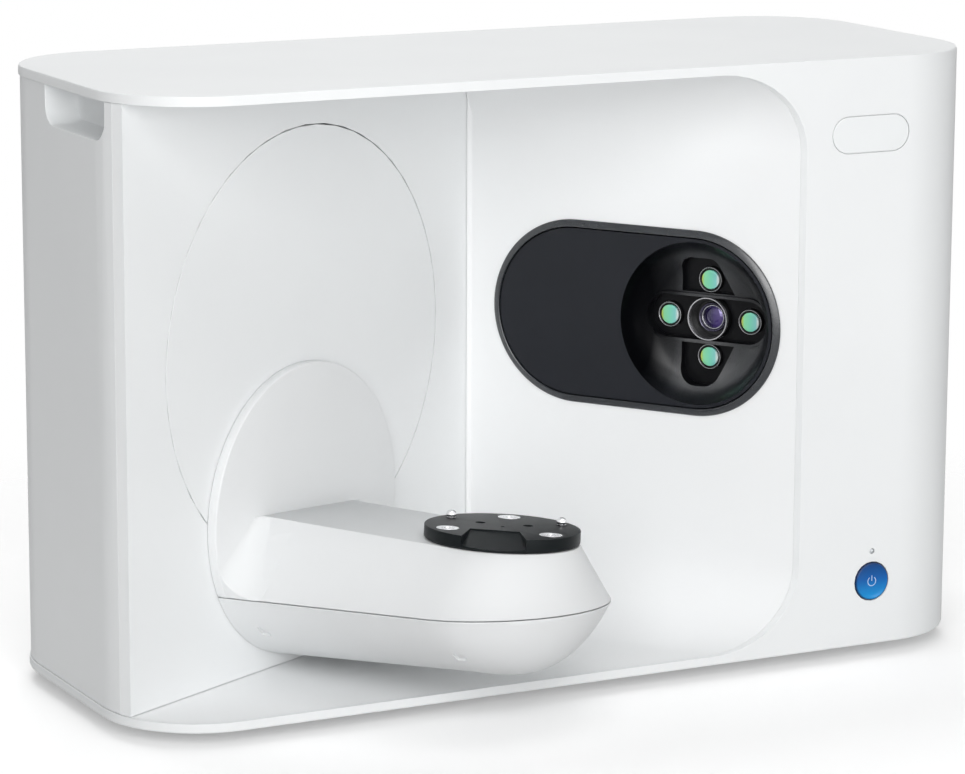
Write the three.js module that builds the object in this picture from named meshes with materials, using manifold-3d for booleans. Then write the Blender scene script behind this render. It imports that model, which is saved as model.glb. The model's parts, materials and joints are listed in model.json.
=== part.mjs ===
// Desktop 3D scanner: a casing with a corner-shaped scanning chamber, an arm that swings on the
// left chamber wall and carries a turntable, and a pill-shaped head with four cameras round a
// projector on the right chamber wall. Millimetres, Z up, the front looks towards -Y.
// Lengths inside the casing are measured from the underside of its base plate.
import * as THREE from "three";
import { mergeVertices } from "three/addons/utils/BufferGeometryUtils.js";
import Module from "manifold-3d";

const wasm = await Module();
wasm.setup();
const { degToRad, lerp, clamp } = THREE.MathUtils;
const { Vector2, Vector3 } = THREE;

// Casing
const bodyWidth = 505;
const bodyDepth = 205;
const bodyHeight = 326;
const cornerShare = 0.1089;
const cornerRadius = cornerShare * bodyWidth;
const plateThickness = 5.2;
const edgeRounding = 1.2;
const frameThickness = 3;
const coverThickness = 2.5;
const coverInset = 0.8;
const sideSeamAngle = degToRad(17.5);
const rearSeamInset = 62.5;
const rearSeamX = bodyWidth / 2 - rearSeamInset;
const frontPanelReach = 60;
const chassisThickness = 2;
const chassisInset = 9;

// Gaps shared by all the pieces
const fit = 0.3;
const running = 0.6;

// Chamber
const vertexShare = 0.0376;
const vertexX = vertexShare * bodyWidth;
const vertexDepthShare = 0.3429;
const vertexY = vertexDepthShare * bodyDepth;
const openingShare = 0.2634;
const openingX = openingShare * bodyWidth;
const leftSlant = degToRad(28);
const leftWallLength = (vertexX + bodyWidth / 2) / Math.cos(leftSlant);
const rightWallLength = Math.hypot(openingX - vertexX, vertexY + bodyDepth / 2);
const linerThickness = 2;
const coveRadius = 44;
const vertexFillet = 5;
const wallLap = 6;

// Grips under the top plate
const gripLength = 78.5;
const gripCentreY = -18.2;
const gripDrop = 26;
const gripBottom = bodyHeight - gripDrop;
const gripDepth = 20;
const gripCorner = 10;
const gripEdge = 6;
const gripWall = 2;

// Feet
const footHeight = 8;
const footRadius = 14;
const footChamfer = 1.5;
const footInset = 67.5;
const footX = bodyWidth / 2 - footInset;
const footSetback = 52.5;
const footY = bodyDepth / 2 - footSetback;

// Front panel
const controlInset = 72.5;
const controlX = bodyWidth / 2 - controlInset;
const badgeHalfStraight = 14.2;
const badgeRadius = 10;
const badgeMargin = 0.3;
const badgeX = bodyWidth / 2 - cornerRadius - badgeMargin - badgeRadius - badgeHalfStraight;
const badgeDrop = 41.5;
const badgeHeight = bodyHeight - badgeDrop;
const badgeThickness = 0.9;
const lampHeight = 53;
const lampRadius = 1.4;
const lampLength = 8;
const buttonHeight = 36;
const buttonRadius = 10.5;
const buttonProud = 0.9;
const buttonChamfer = 0.8;
const buttonDish = 0.5;
const buttonTravel = 1.5;
const buttonFlange = 1.4;
const buttonStemRadius = 2.2;
const buttonStemLength = 4;
const boardThickness = 1.6;
const controlBoardWidth = 30;
const controlBoardTop = 66;
const controlBoardBottom = 13;
const switchSize = 6;
const switchDepth = 5;
const bossRadius = 3.5;

// Arm swing
const discPlaceShare = 0.4898;
const discFromVertex = discPlaceShare * leftWallLength;
const discHeightShare = 0.5383;
const discHeight = discHeightShare * bodyHeight;
const discRadiusShare = 0.3837;
const discRadius = discRadiusShare * leftWallLength;
const discThickness = 3;
const discHubRadius = 24;
const discHubLength = 14;
const shaftRadius = 10;
const shaftEnd = 59;
const bearingRadius = 16;
const bearingStart = 35;
const bearingEnd = 44;
const collarRadius = 21;
const bracketWidth = 2 * discRadius;
const bracketHeight = 222;
const bracketFace = 38;
const bracketThickness = 3;
const bracketCorner = 16;
const bracketLegInset = 10;
const bracketLegX = bracketWidth / 2 - bracketLegInset;
const bracketLegZ = bracketHeight / 2 - bracketLegInset;
const bracketLegRadius = 5;
const bracketWindowWidth = 60;
const bracketWindowHeight = 70;
const bracketWindowX = 62;
const bracketWindowZ = 65;
const motorSize = 42;
const motorCorner = 5;
const motorStart = 8;
const motorX = -66;
const motorPilotRadius = 8;
const motorBoreDepth = 12;
const motorShaftRadius = 2.5;
const pulleyStart = 45;
const pulleyWidth = 12;
const pulleyRim = 1.5;
const pulleyFlange = 2;
const swingPulleyRadius = 32;
const swingMotorPulleyRadius = 9;
const beltThickness = 1.5;

// Arm: heights are measured from the swing axis, reaches from the face of the swing disc
const armRest = degToRad(4.8);
const armRootGap = 0.4;
const flangeRadiusShare = 0.4507;
const flangeRadius = flangeRadiusShare * discHeight;
const flangeHeightShare = 0.4969;
const flangeHeight = -flangeHeightShare * discHeight;
const flangeThickness = 6;
const flangeChamfer = 0.9;
const armTopShare = 0.4958;
const armTopHeight = -armTopShare * discHeight;
const armTopHalfWidth = 40;
const armTopTip = 41;
const seamStartShare = 0.73;
const seamStartHeight = -seamStartShare * discHeight;
const seamTip = 54;
const seamRiseShare = 0.062;
const keelRiseShare = 0.081;
const keelAngle = degToRad(84);
const tipRoundingShare = 0.7;
const armWall = 2.5;
const seamGap = 0.5;
const topBlend = 7;
const seamBlend = 28;
const turntableReach = 131.6;
const clipWidth = 6.2;
const clipHeight = 4.4;
const clipDepth = 1.5;
const frontClip = { side: 40, reach: 140.4, drop: 12.9 };
const rearClip = { side: 50, reach: 19.5, drop: 17.5 };

// Turntable
const plateRadius = 40.6;
const plateHeight = 7;
const plateGap = 0.4;
const plateChamfer = 0.8;
const notchAngle = degToRad(208);
const notchInner = 13;
const notchHalfWidth = 12.8;
const notchOuterHalfWidth = 17.3;
const notchStep = 0.6;
const notchDepth = 6;
const insertCircle = 30.8;
const insertRadius = 5.8;
const insertThickness = 1.8;
const insertDimple = 2.2;
const insertDimpleDepth = 0.8;
const pinCircle = 33.4;
const pinAngle = degToRad(120);
const pinStemRadius = 1.5;
const pinStemDepth = 4;
const pinBallRadius = 2.6;
const pinBallSink = 0.3;
const threadCircle = 14.5;
const threadAngle = degToRad(121);
const threadRadius = 1.9;
const centreMarkRadius = 1;
const markDepth = 1.2;
const spindleRadius = 6;
const spindleLength = 38;
const spindleBearingRadius = 11;
const spindleBearingDrop = 4;
const spindleBearingTop = armTopHeight - spindleBearingDrop;
const spindleBearingHeight = 8;
const spindleBossWall = 2.5;
const turntablePulleyDrop = 15;
const turntablePulleyTop = armTopHeight - turntablePulleyDrop;
const turntablePulleyWidth = 10;
const turntablePulleyRadius = 15;
const turntableMotorPulleyRadius = 7.5;
const turntableMotorReach = 70;
const turntableMotorSize = 35;
const turntableMotorHeight = 28;
const turntableMotorDrop = 28;
const turntableMotorTop = armTopHeight - turntableMotorDrop;
const motorPostRadius = 2.5;
const motorPostOffset = 15;

// Camera head: depths are measured from the face of the right chamber wall into the wall
const headPlaceShare = 0.5072;
const headFromVertex = headPlaceShare * rightWallLength;
const headHeightShare = 0.546;
const headHeight = headHeightShare * bodyHeight;
const headRadius = 51.4;
const headHalfStraight = 37;
const bezelProud = 2.6;
const bezelBevel = 4;
const bezelBevelHeight = 2;
const bezelNeckRadius = 48.9;
const bezelDepth = 10;
const bezelBore = 47.4;
const faceRadius = 46.9;
const faceProud = 2;
const faceThickness = 3;
const lensX = 37;
const dishRadius = 45;
const dishFlatRadius = 26;
const dishDepth = 16.4;
const dishWall = 2;
const slotHalfStraight = 24.4;
const slotRadius = 12;
const slotLip = 1.2;
const recessDepth = 20;
const recessWall = 1.6;
const sail = { inner: -16.5, outer: 15.5, bottom: 14.6, top: 34.5, slantX: 5.5, corner: 8 };
const cameraSpanX = 24.5;
const cameraSpanZ = 21.5;
const cameraRadius = 7;
const cameraFront = 17.6;
const cameraBack = 35;
const cameraLensRadius = 5.3;
const cameraLensDepth = 1.5;
const lensBulge = 0.7;
const projectorRadius = 11.6;
const projectorFront = 16.6;
const projectorStep = 22;
const projectorSeat = 27;
const projectorBack = 52;
const projectorBore = 10.2;
const projectorInnerBore = 8.2;
const projectorLensRadius = 7.8;
const projectorLensBulge = 3;
const projectorLensThickness = 2;
const ringRadius = 12;
const ringBore = 11.2;
const ringFront = 14.4;
const headBracketFace = 28;
const headBracketThickness = 2.5;
const headBracketHalfHeight = 34;
const headBracketHalfWidth = 90;
const headBracketTab = 5;
const facePostRadius = 3;
const facePostX = 55;
const facePostZ = 22;

// Rear cover and electronics
const ventWidth = 52;
const ventHeight = 3;
const ventPitch = 7;
const ventCount = 7;
const fanInset = 60;
const fanX = rearSeamX - fanInset;
const fanDrop = 76;
const fanHeight = bodyHeight - fanDrop;
const intakeInset = 80;
const intakeX = intakeInset - rearSeamX;
const fanSize = 60;
const fanDepth = 15;
const fanCorner = 5;
const fanBore = 27;
const fanRotorRadius = 26;
const fanHubRadius = 11;
const fanHubInset = 2;
const fanAxleRadius = 2.5;
const fanSparWidth = 5;
const fanSparDepth = 2.5;
const bladeCount = 7;
const bladeThickness = 1.2;
const bladeDepth = 10;
const bladePitch = degToRad(38);
const socketHeight = 38;
const inletInset = 40;
const inletX = rearSeamX - inletInset;
const inletWidth = 30;
const inletHeight = 24;
const inletFlangeWidth = 38;
const inletFlangeHeight = 32;
const inletFlangeThickness = 1.5;
const inletDepth = 24;
const inletWall = 2.5;
const inletPocket = 17;
const inletPinWidth = 2;
const inletPinHeight = 4;
const inletPinLength = 13;
const inletPinX = 7;
const inletPinDrop = 4;
const rockerInset = 80;
const rockerX = rearSeamX - rockerInset;
const rockerWidth = 12;
const rockerHeight = 20;
const rockerRadius = 13;
const rockerTilt = degToRad(7);
const rockerProud = 1.5;
const housingWidth = 19;
const housingHeight = 27;
const housingDepth = 20;
const usbInset = 114;
const usbX = rearSeamX - usbInset;
const usbWidth = 13;
const usbHeight = 12;
const usbDepth = 17;
const usbWall = 1.2;
const usbTongueWidth = 5;
const usbTongueHeight = 3.5;
const boardInset = 4;
const boardWidth = 126;
const boardRight = rearSeamX - boardInset;
const boardLeft = boardRight - boardWidth;
const boardBottom = 78;
const boardClearance = 15;
const boardTop = fanHeight - fanSize / 2 - boardClearance;
const boardStandoff = 18;
const boardPostInset = 8;
const chipSize = 28;
const chipHeight = 8;
const plugHeight = 10;
const plugWidth = 50;
const plugDepth = 6;
const supplyInset = 20.5;
const supplyWidth = 104;
const supplyRight = bodyWidth / 2 - supplyInset;
const supplyLeft = supplyRight - supplyWidth;
const supplyFront = -42;
const supplyBack = 58;
const supplyHeight = 40;
const supplySlotWidth = 3;
const supplySlotPitch = 9;
const supplySlotCount = 7;
const supplySlotLength = 50;
const supplyWall = 1.5;

// Fineness of round pieces
const cornerSegments = 5;
const smallCornerSegments = 2;
const hiddenCornerSegments = 1;
const pillSegments = 8;
const roundSegments = 20;
const driveSegments = 16;
const discSegments = 44;
const plateSegments = 40;
const smallSegments = 8;
const tipSegments = 16;
const hollowSegments = 8;
const hullSteps = 5;
const blendSteps = 4;
const sideSteps = 4;
const dishSteps = 6;
const ballSteps = 5;
const lensSteps = 3;
const edgeSteps = 2;

const solid = (geometry) => {
  geometry.deleteAttribute("normal");
  geometry.deleteAttribute("uv");
  const merged = mergeVertices(geometry);
  const corners = merged.index.array;
  const faces = [];
  for (let i = 0; i < corners.length; i += 3) {
    const [a, b, c] = corners.subarray(i, i + 3);
    if (a !== b && b !== c && c !== a) faces.push(a, b, c);
  }
  return new wasm.Manifold(
    new wasm.Mesh({
      numProp: 3,
      vertProperties: merged.attributes.position.array,
      triVerts: new Uint32Array(faces),
    }),
  );
};
const join = (...shapes) => shapes.reduce((whole, shape) => whole.add(shape));
const cut = (base, ...tools) => tools.reduce((rest, tool) => rest.subtract(tool), base);
const common = (...shapes) => shapes.reduce((rest, shape) => rest.intersect(shape));
const placed = (shape, matrix) => shape.transform(matrix.elements);

const block = (x0, x1, y0, y1, z0, z1) => {
  const geometry = new THREE.BoxGeometry(x1 - x0, y1 - y0, z1 - z0);
  return solid(geometry.translate((x0 + x1) / 2, (y0 + y1) / 2, (z0 + z1) / 2));
};

// A flat outline carried along an axis: upward, to the right, or backward from the front.
const extruded = (outline, length, segments) =>
  new THREE.ExtrudeGeometry(outline, {
    depth: length,
    bevelEnabled: false,
    curveSegments: segments,
  });
const upright = (outline, low, high, segments = cornerSegments) =>
  solid(extruded(outline, high - low, segments).translate(0, 0, low));
const axisX = new Vector3(1, 0, 0);
const axisY = new Vector3(0, 1, 0);
const axisZ = new Vector3(0, 0, 1);
const sideways = (outline, left, right, segments = cornerSegments) => {
  const turn = new THREE.Matrix4().makeBasis(axisY, axisZ, axisX);
  return solid(extruded(outline, right - left, segments).applyMatrix4(turn).translate(left, 0, 0));
};
const backward = (outline, front, back, segments = cornerSegments) => {
  const turn = new THREE.Matrix4().makeBasis(axisX, axisZ, axisY.clone().negate());
  return solid(extruded(outline, back - front, segments).applyMatrix4(turn).translate(0, back, 0));
};

// A profile of [radius, height] pairs turned round the Y axis or the Z axis.
const turnedY = (profile, segments = roundSegments) => {
  const points = profile.map(([radius, height]) => new Vector2(radius, height));
  return solid(new THREE.LatheGeometry(points, segments));
};
const turnedZ = (profile, segments = roundSegments) => {
  const points = profile.map(([radius, height]) => new Vector2(radius, height));
  return solid(new THREE.LatheGeometry(points, segments).rotateX(Math.PI / 2));
};
const rod = (radius, low, high) => [
  [0, low],
  [radius, low],
  [radius, high],
  [0, high],
];
const tube = (inner, outer, low, high) => [
  [inner, low],
  [outer, low],
  [outer, high],
  [inner, high],
  [inner, low],
];
const pulleyProfile = (bore, radius, low, high) => [
  [bore, low],
  [radius + pulleyFlange, low],
  [radius + pulleyFlange, low + pulleyRim],
  [radius, low + pulleyRim],
  [radius, high - pulleyRim],
  [radius + pulleyFlange, high - pulleyRim],
  [radius + pulleyFlange, high],
  [bore, high],
  [bore, low],
];

const roundedRectangle = (width, height, radius, x = 0, y = 0) => {
  const right = width / 2 - radius;
  const top = height / 2 - radius;
  const quarter = Math.PI / 2;
  return new THREE.Shape()
    .absarc(x + right, y + top, radius, 0, quarter)
    .absarc(x - right, y + top, radius, quarter, 2 * quarter)
    .absarc(x - right, y - top, radius, 2 * quarter, 3 * quarter)
    .absarc(x + right, y - top, radius, 3 * quarter, 4 * quarter);
};
const pill = (halfStraight, radius, x = 0, y = 0) => {
  const quarter = Math.PI / 2;
  return new THREE.Shape()
    .absarc(x + halfStraight, y, radius, -quarter, quarter)
    .absarc(x - halfStraight, y, radius, quarter, 3 * quarter);
};
const loop = (firstRadius, secondRadius, distance, grow) => {
  const lean = Math.acos((firstRadius - secondRadius) / distance);
  return new THREE.Shape()
    .absarc(0, 0, firstRadius + grow, lean, 2 * Math.PI - lean)
    .absarc(distance, 0, secondRadius + grow, -lean, lean);
};
const beltOutline = (firstRadius, secondRadius, distance) => {
  const outline = loop(firstRadius, secondRadius, distance, fit + beltThickness);
  outline.holes.push(loop(firstRadius, secondRadius, distance, fit));
  return outline;
};

// A closed skin over rings of equal count, each counter-clockwise seen from the last ring's side.
const loft = (rings) => {
  const count = rings[0].length;
  const points = rings.flat();
  const faces = [];
  for (let start = 0; start < count * (rings.length - 1); start += count)
    for (let i = 0; i < count; i++) {
      const a = start + i;
      const b = start + ((i + 1) % count);
      faces.push(a, b, b + count, a, b + count, a + count);
    }
  const addCap = (ring, start, outward) => {
    const centre = points.length;
    points.push(ring.reduce((sum, p) => sum.add(p), new Vector3()).divideScalar(count));
    for (let i = 0; i < count; i++) {
      const edge = [start + i, start + ((i + 1) % count)];
      faces.push(...(outward ? edge : edge.reverse()), centre);
    }
  };
  addCap(rings[0], 0, false);
  addCap(rings.at(-1), count * (rings.length - 1), true);
  const geometry = new THREE.BufferGeometry().setFromPoints(points);
  geometry.setIndex(faces);
  return solid(geometry);
};

const paint = (color, roughness, metalness = 0) => ({ color, roughness, metalness });
const whitePaint = paint(0xe9ecec, 0.45);
const blackPlastic = paint(0x1d1f24, 0.5);
const darkPlastic = paint(0x2d3036, 0.42);
const rubber = paint(0x2b2c2e, 0.85);
const steel = paint(0xb9bcc0, 0.35, 0.9);
const brightSteel = paint(0xd9dbde, 0.2, 1);
const sheetMetal = paint(0xa8acb0, 0.5, 0.8);
const boardGreen = paint(0x1f5a3c, 0.6);
const lensGreen = paint(0x5fd0a8, 0.08, 0.3);
const lensPurple = paint(0x3a2c6a, 0.05, 0.3);
const buttonBlue = paint(0x1c6fc4, 0.25);
const clearPlastic = paint(0xe3e6e8, 0.2);
const plateBlack = paint(0x25282d, 0.48);
const fanBlack = paint(0x17181a, 0.6);

const add = (group, name, shape, finish) => {
  const { numProp, vertProperties, triVerts } = shape.asOriginal().simplify().getMesh();
  const positions = new Float32Array((vertProperties.length / numProp) * 3);
  for (let i = 0; i < positions.length / 3; i++)
    positions.set(vertProperties.subarray(i * numProp, i * numProp + 3), i * 3);
  const geometry = new THREE.BufferGeometry();
  geometry.setAttribute("position", new THREE.BufferAttribute(positions, 3));
  geometry.setIndex(new THREE.BufferAttribute(triVerts, 1));
  geometry.computeVertexNormals();
  const mesh = new THREE.Mesh(geometry, new THREE.MeshStandardMaterial(finish));
  mesh.name = name;
  group.add(mesh);
};

// Frames of the two chamber walls. X runs along the wall towards the right, Y into the wall.
const rightSlant = Math.atan2(-bodyDepth / 2 - vertexY, openingX - vertexX);
const wallFrame = (slant, along, height) => {
  const frame = new THREE.Group();
  frame.rotation.z = slant;
  frame.position.set(
    vertexX + along * Math.cos(slant),
    vertexY + along * Math.sin(slant),
    height,
  );
  frame.updateMatrix();
  return frame;
};
const discFrame = wallFrame(leftSlant, -discFromVertex, discHeight);
const headFrame = wallFrame(rightSlant, headFromVertex, headHeight);
const rightWall = wallFrame(rightSlant, 0, 0).matrix;
const leftWall = wallFrame(leftSlant, 0, 0).matrix;

const floor = plateThickness;
const ceiling = bodyHeight - plateThickness;
const planOutline = (inset) =>
  roundedRectangle(bodyWidth - 2 * inset, bodyDepth - 2 * inset, cornerRadius - inset);
const filledPlan = (inset, low, high) => upright(planOutline(inset), low, high);
const inFrontOf = (matrix, offset) =>
  placed(block(-bodyWidth, bodyWidth, -bodyWidth, offset, -bodyHeight, 2 * bodyHeight), matrix);

// The hollow of the chamber and its liner share this section across the right wall.
const channel = (grow) => {
  const quarter = Math.PI / 2;
  const radius = coveRadius + grow;
  const section = new THREE.Shape()
    .moveTo(-bodyWidth, floor - grow)
    .lineTo(-coveRadius, floor - grow)
    .absarc(-coveRadius, floor + coveRadius, radius, -quarter, 0)
    .absarc(-coveRadius, ceiling - coveRadius, radius, 0, quarter)
    .lineTo(-bodyWidth, ceiling + grow);
  return placed(sideways(section, -bodyDepth, 2 * bodyDepth), rightWall);
};

const scanner = new THREE.Group();
scanner.name = "desktop_scanner";
const machine = new THREE.Group();
scanner.add(machine);
machine.add(discFrame, headFrame);

// Outer frame: top plate, base plate and right front panel in one moulding
const frontFace = -bodyDepth / 2;
const seamY = -(bodyDepth / 2 - cornerRadius) - cornerRadius * Math.sin(sideSeamAngle);
const controlBoardFace =
  frontFace + frameThickness + fit + buttonFlange + buttonStemLength + buttonTravel + fit + switchDepth;
const frameShape = () => {
  const blank = new THREE.ExtrudeGeometry(planOutline(edgeRounding), {
    depth: bodyHeight - 2 * edgeRounding,
    bevelSize: edgeRounding,
    bevelThickness: edgeRounding,
    bevelSegments: edgeSteps,
    curveSegments: cornerSegments,
  });
  let frame = solid(blank.translate(0, 0, edgeRounding));
  frame = cut(
    frame,
    filledPlan(frameThickness, floor, ceiling),
    block(-bodyWidth, frontPanelReach, -bodyDepth, bodyDepth, floor, ceiling),
    block(0, bodyWidth, seamY, bodyDepth, floor, ceiling),
    channel(0),
    common(
      channel(linerThickness + fit),
      filledPlan(frameThickness, 0, bodyHeight),
      inFrontOf(leftWall, 0),
    ),
  );
  const bossEnd = controlBoardFace - fit;
  for (const height of [controlBoardBottom + bossRadius, controlBoardTop - bossRadius]) {
    const boss = turnedY(rod(bossRadius, frontFace + frameThickness / 2, bossEnd), smallSegments);
    frame = join(frame, boss.translate([controlX, 0, height]));
  }
  const buttonHole = turnedY(rod(buttonRadius + running, -bodyDepth, bossEnd), roundSegments);
  const lampHole = turnedY(rod(lampRadius + fit, -bodyDepth, bossEnd), smallSegments);
  const badge = pill(badgeHalfStraight, badgeRadius + fit, badgeX, badgeHeight);
  return cut(
    frame,
    buttonHole.translate([controlX, 0, buttonHeight]),
    lampHole.translate([controlX, 0, lampHeight]),
    backward(badge, frontFace - badgeThickness, frontFace + badgeThickness + fit),
  );
};
add(machine, "outer_frame", frameShape(), whitePaint);

const badgeShape = pill(badgeHalfStraight, badgeRadius, badgeX, badgeHeight);
add(machine, "badge_inlay", backward(badgeShape, frontFace, frontFace + badgeThickness), clearPlastic);

// Chamber liner: floor, right wall and ceiling joined by coves
const headHole = backward(
  pill(headHalfStraight, bezelNeckRadius + fit),
  -bezelDepth,
  bezelDepth,
  pillSegments,
);
const filletShape = () => {
  const angle = Math.PI + rightSlant - leftSlant;
  const tangent = vertexFillet / Math.tan(angle / 2);
  const corner = new Vector2(vertexX, vertexY);
  const onLeft = new Vector2(-tangent, 0).rotateAround(new Vector2(), leftSlant).add(corner);
  const centre = new Vector2(-tangent, -vertexFillet).rotateAround(new Vector2(), leftSlant).add(corner);
  const behind = new Vector2(linerThickness, linerThickness).rotateAround(new Vector2(), rightSlant);
  const outline = new THREE.Shape()
    .moveTo(onLeft.x, onLeft.y)
    .absarc(centre.x, centre.y, vertexFillet, leftSlant + Math.PI / 2, rightSlant + Math.PI / 2, true)
    .lineTo(corner.x + behind.x, corner.y + behind.y)
    .lineTo(corner.x, corner.y);
  return upright(outline, floor, ceiling);
};
const linerShape = cut(
  common(
    join(cut(channel(linerThickness), channel(0)), filletShape()),
    filledPlan(frameThickness + fit, 0, bodyHeight),
    inFrontOf(leftWall, -fit),
  ),
  placed(headHole, headFrame.matrix),
);
add(machine, "chamber_shell", linerShape, whitePaint);

// Left chamber wall with its return on the front corner
const skin = (inset, thickness, low, high) =>
  cut(filledPlan(inset, low, high), filledPlan(inset + thickness, low - fit, high + fit));
const wallLow = floor + fit;
const wallHigh = ceiling - fit;
const wallSlab = placed(
  block(-bodyWidth, wallLap, 0, frameThickness, wallLow, wallHigh),
  leftWall,
);
const returnStrip = cut(
  common(
    skin(coverInset, frameThickness, wallLow, wallHigh),
    block(-bodyWidth, -rearSeamX, -bodyDepth, seamY - fit / 2, wallLow, wallHigh),
  ),
  inFrontOf(leftWall, 0),
);
const discHole = turnedY(rod(discRadius + running, -frameThickness, 2 * frameThickness), discSegments);
const leftWallShape = cut(
  join(common(wallSlab, filledPlan(coverInset, wallLow, wallHigh)), returnStrip),
  placed(discHole, discFrame.matrix),
);
add(machine, "left_wall", leftWallShape, whitePaint);

// Side covers with a grip under the top plate
const gripTool = (grow) => {
  const width = gripLength + 2 * (grow - gripEdge);
  const bottom = gripBottom - grow + gripEdge;
  const height = bodyHeight - gripBottom + gripDepth;
  const outline = roundedRectangle(
    width,
    height,
    gripCorner + grow - gripEdge,
    gripCentreY,
    bottom + height / 2,
  );
  const geometry = new THREE.ExtrudeGeometry(outline, {
    depth: 2 * gripDepth + grow - 2 * gripEdge,
    bevelSize: gripEdge,
    bevelThickness: gripEdge,
    bevelSegments: edgeSteps,
    curveSegments: smallCornerSegments,
  });
  const turn = new THREE.Matrix4().makeBasis(axisY, axisZ, axisX);
  return solid(geometry.applyMatrix4(turn).translate(-bodyWidth / 2 - gripDepth + gripEdge, 0, 0));
};
const sideCover = cut(
  join(
    common(
      skin(coverInset, coverThickness, wallLow, wallHigh),
      block(-bodyWidth, -rearSeamX, seamY + fit / 2, bodyDepth, wallLow, wallHigh),
    ),
    common(gripTool(gripWall), filledPlan(coverInset, wallLow, wallHigh)),
  ),
  gripTool(0),
);
add(machine, "left_cover", sideCover, whitePaint);
add(machine, "right_cover", sideCover.mirror([1, 0, 0]), whitePaint);

// Feet
[-footX, footX].forEach((x, column) =>
  [-footY, footY].forEach((y, row) => {
    const profile = [
      [0, -footHeight],
      [footRadius - footChamfer, -footHeight],
      [footRadius, -footHeight + footChamfer],
      [footRadius, -fit],
      [0, -fit],
    ];
    const shape = turnedZ(profile, driveSegments).translate([x, y, 0]);
    add(machine, "foot_" + (column ? "right" : "left") + "_" + (row ? "rear" : "front"), shape, rubber);
  }),
);

// Power button, its lamp and the small board behind them
const buttonBack = frontFace + frameThickness + fit;
const stemEnd = buttonBack + buttonFlange + buttonStemLength;
const buttonShape = turnedY([
  [0, frontFace - buttonProud + buttonDish],
  [(buttonRadius - buttonChamfer) / 2, frontFace - buttonProud + buttonDish / 2],
  [buttonRadius - buttonChamfer, frontFace - buttonProud],
  [buttonRadius, frontFace - buttonProud + buttonChamfer],
  [buttonRadius, buttonBack],
  [buttonRadius + 2 * running, buttonBack],
  [buttonRadius + 2 * running, buttonBack + buttonFlange],
  [buttonStemRadius, buttonBack + buttonFlange],
  [buttonStemRadius, stemEnd],
  [0, stemEnd],
]);
add(machine, "power_button", buttonShape.translate([controlX, 0, buttonHeight]), buttonBlue);
const lampShape = turnedY(rod(lampRadius, frontFace, frontFace + lampLength), smallSegments);
add(machine, "light_pipe", lampShape.translate([controlX, 0, lampHeight]), clearPlastic);

const controlBoard = join(
  block(
    controlX - controlBoardWidth / 2,
    controlX + controlBoardWidth / 2,
    controlBoardFace,
    controlBoardFace + boardThickness,
    controlBoardBottom,
    controlBoardTop,
  ),
  block(
    controlX - switchSize / 2,
    controlX + switchSize / 2,
    controlBoardFace - switchDepth,
    controlBoardFace + boardThickness / 2,
    buttonHeight - switchSize / 2,
    buttonHeight + switchSize / 2,
  ),
  turnedY(
    rod(lampRadius, frontFace + lampLength + fit, controlBoardFace + boardThickness / 2),
    smallSegments,
  ).translate([controlX, 0, lampHeight]),
);
add(machine, "control_board", controlBoard, boardGreen);

// Chassis sheet on the base plate, behind the two chamber walls
const behindWalls = common(
  inFrontOf(leftWall, frameThickness + wallLap),
  inFrontOf(rightWall, linerThickness + wallLap),
);
const chassisShape = cut(
  filledPlan(chassisInset, floor + fit, floor + fit + chassisThickness),
  behindWalls,
);
add(machine, "chassis_plate", chassisShape, sheetMetal);
const chassisTop = floor + fit + chassisThickness;

// Swing drive behind the left wall
const legStart = frameThickness + fit;
const bracketShape = () => {
  const sheet = roundedRectangle(bracketWidth, bracketHeight, bracketCorner);
  for (const x of [-bracketWindowX, bracketWindowX])
    for (const z of [-bracketWindowZ, bracketWindowZ])
      sheet.holes.push(
        roundedRectangle(bracketWindowWidth, bracketWindowHeight, bracketCorner, x, z),
      );
  const bracketBack = bracketFace + bracketThickness;
  let shape = backward(sheet, bracketFace, bracketBack, hiddenCornerSegments);
  for (const x of [-bracketLegX, bracketLegX])
    for (const z of [-bracketLegZ, bracketLegZ]) {
      const leg = turnedY(rod(bracketLegRadius, legStart, bracketFace + fit), smallSegments);
      shape = join(shape, leg.translate([x, 0, z]));
    }
  const collar = turnedY(rod(collarRadius, bearingStart, bearingEnd), driveSegments);
  const bore = turnedY(rod(bearingRadius + fit, 0, shaftEnd), driveSegments);
  const pilot = turnedY(rod(motorPilotRadius, 0, shaftEnd), smallSegments);
  return cut(join(shape, collar), bore, pilot.translate([motorX, 0, 0]));
};
add(discFrame, "swing_bracket", bracketShape(), sheetMetal);
const bearing = tube(shaftRadius + fit, bearingRadius, bearingStart, bearingEnd);
add(discFrame, "swing_bearing", turnedY(bearing, driveSegments), steel);

const motorEnd = bracketFace - fit;
const motorBlank = backward(
  roundedRectangle(motorSize, motorSize, motorCorner, motorX, 0),
  motorStart,
  motorEnd,
  smallCornerSegments,
);
const motorBore = turnedY(
  rod(motorShaftRadius + fit, motorEnd - motorBoreDepth, bracketFace),
  smallSegments,
);
add(discFrame, "swing_motor", cut(motorBlank, motorBore.translate([motorX, 0, 0])), blackPlastic);

const pulleyEnd = pulleyStart + pulleyWidth;
const motorPulley = join(
  turnedY(rod(motorShaftRadius, motorEnd - motorBoreDepth + fit, pulleyEnd + fit), smallSegments),
  turnedY(pulleyProfile(0, swingMotorPulleyRadius, pulleyStart, pulleyEnd), driveSegments),
);
const motorPulleyGroup = new THREE.Group();
motorPulleyGroup.position.x = motorX;
discFrame.add(motorPulleyGroup);
add(motorPulleyGroup, "swing_motor_pulley", motorPulley, steel);

const swingBelt = backward(
  beltOutline(swingPulleyRadius, swingMotorPulleyRadius, -motorX),
  pulleyStart + pulleyRim + fit,
  pulleyEnd - pulleyRim - fit,
  driveSegments / 2,
);
add(discFrame, "swing_belt", swingBelt.mirror([1, 0, 0]), rubber);

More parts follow.
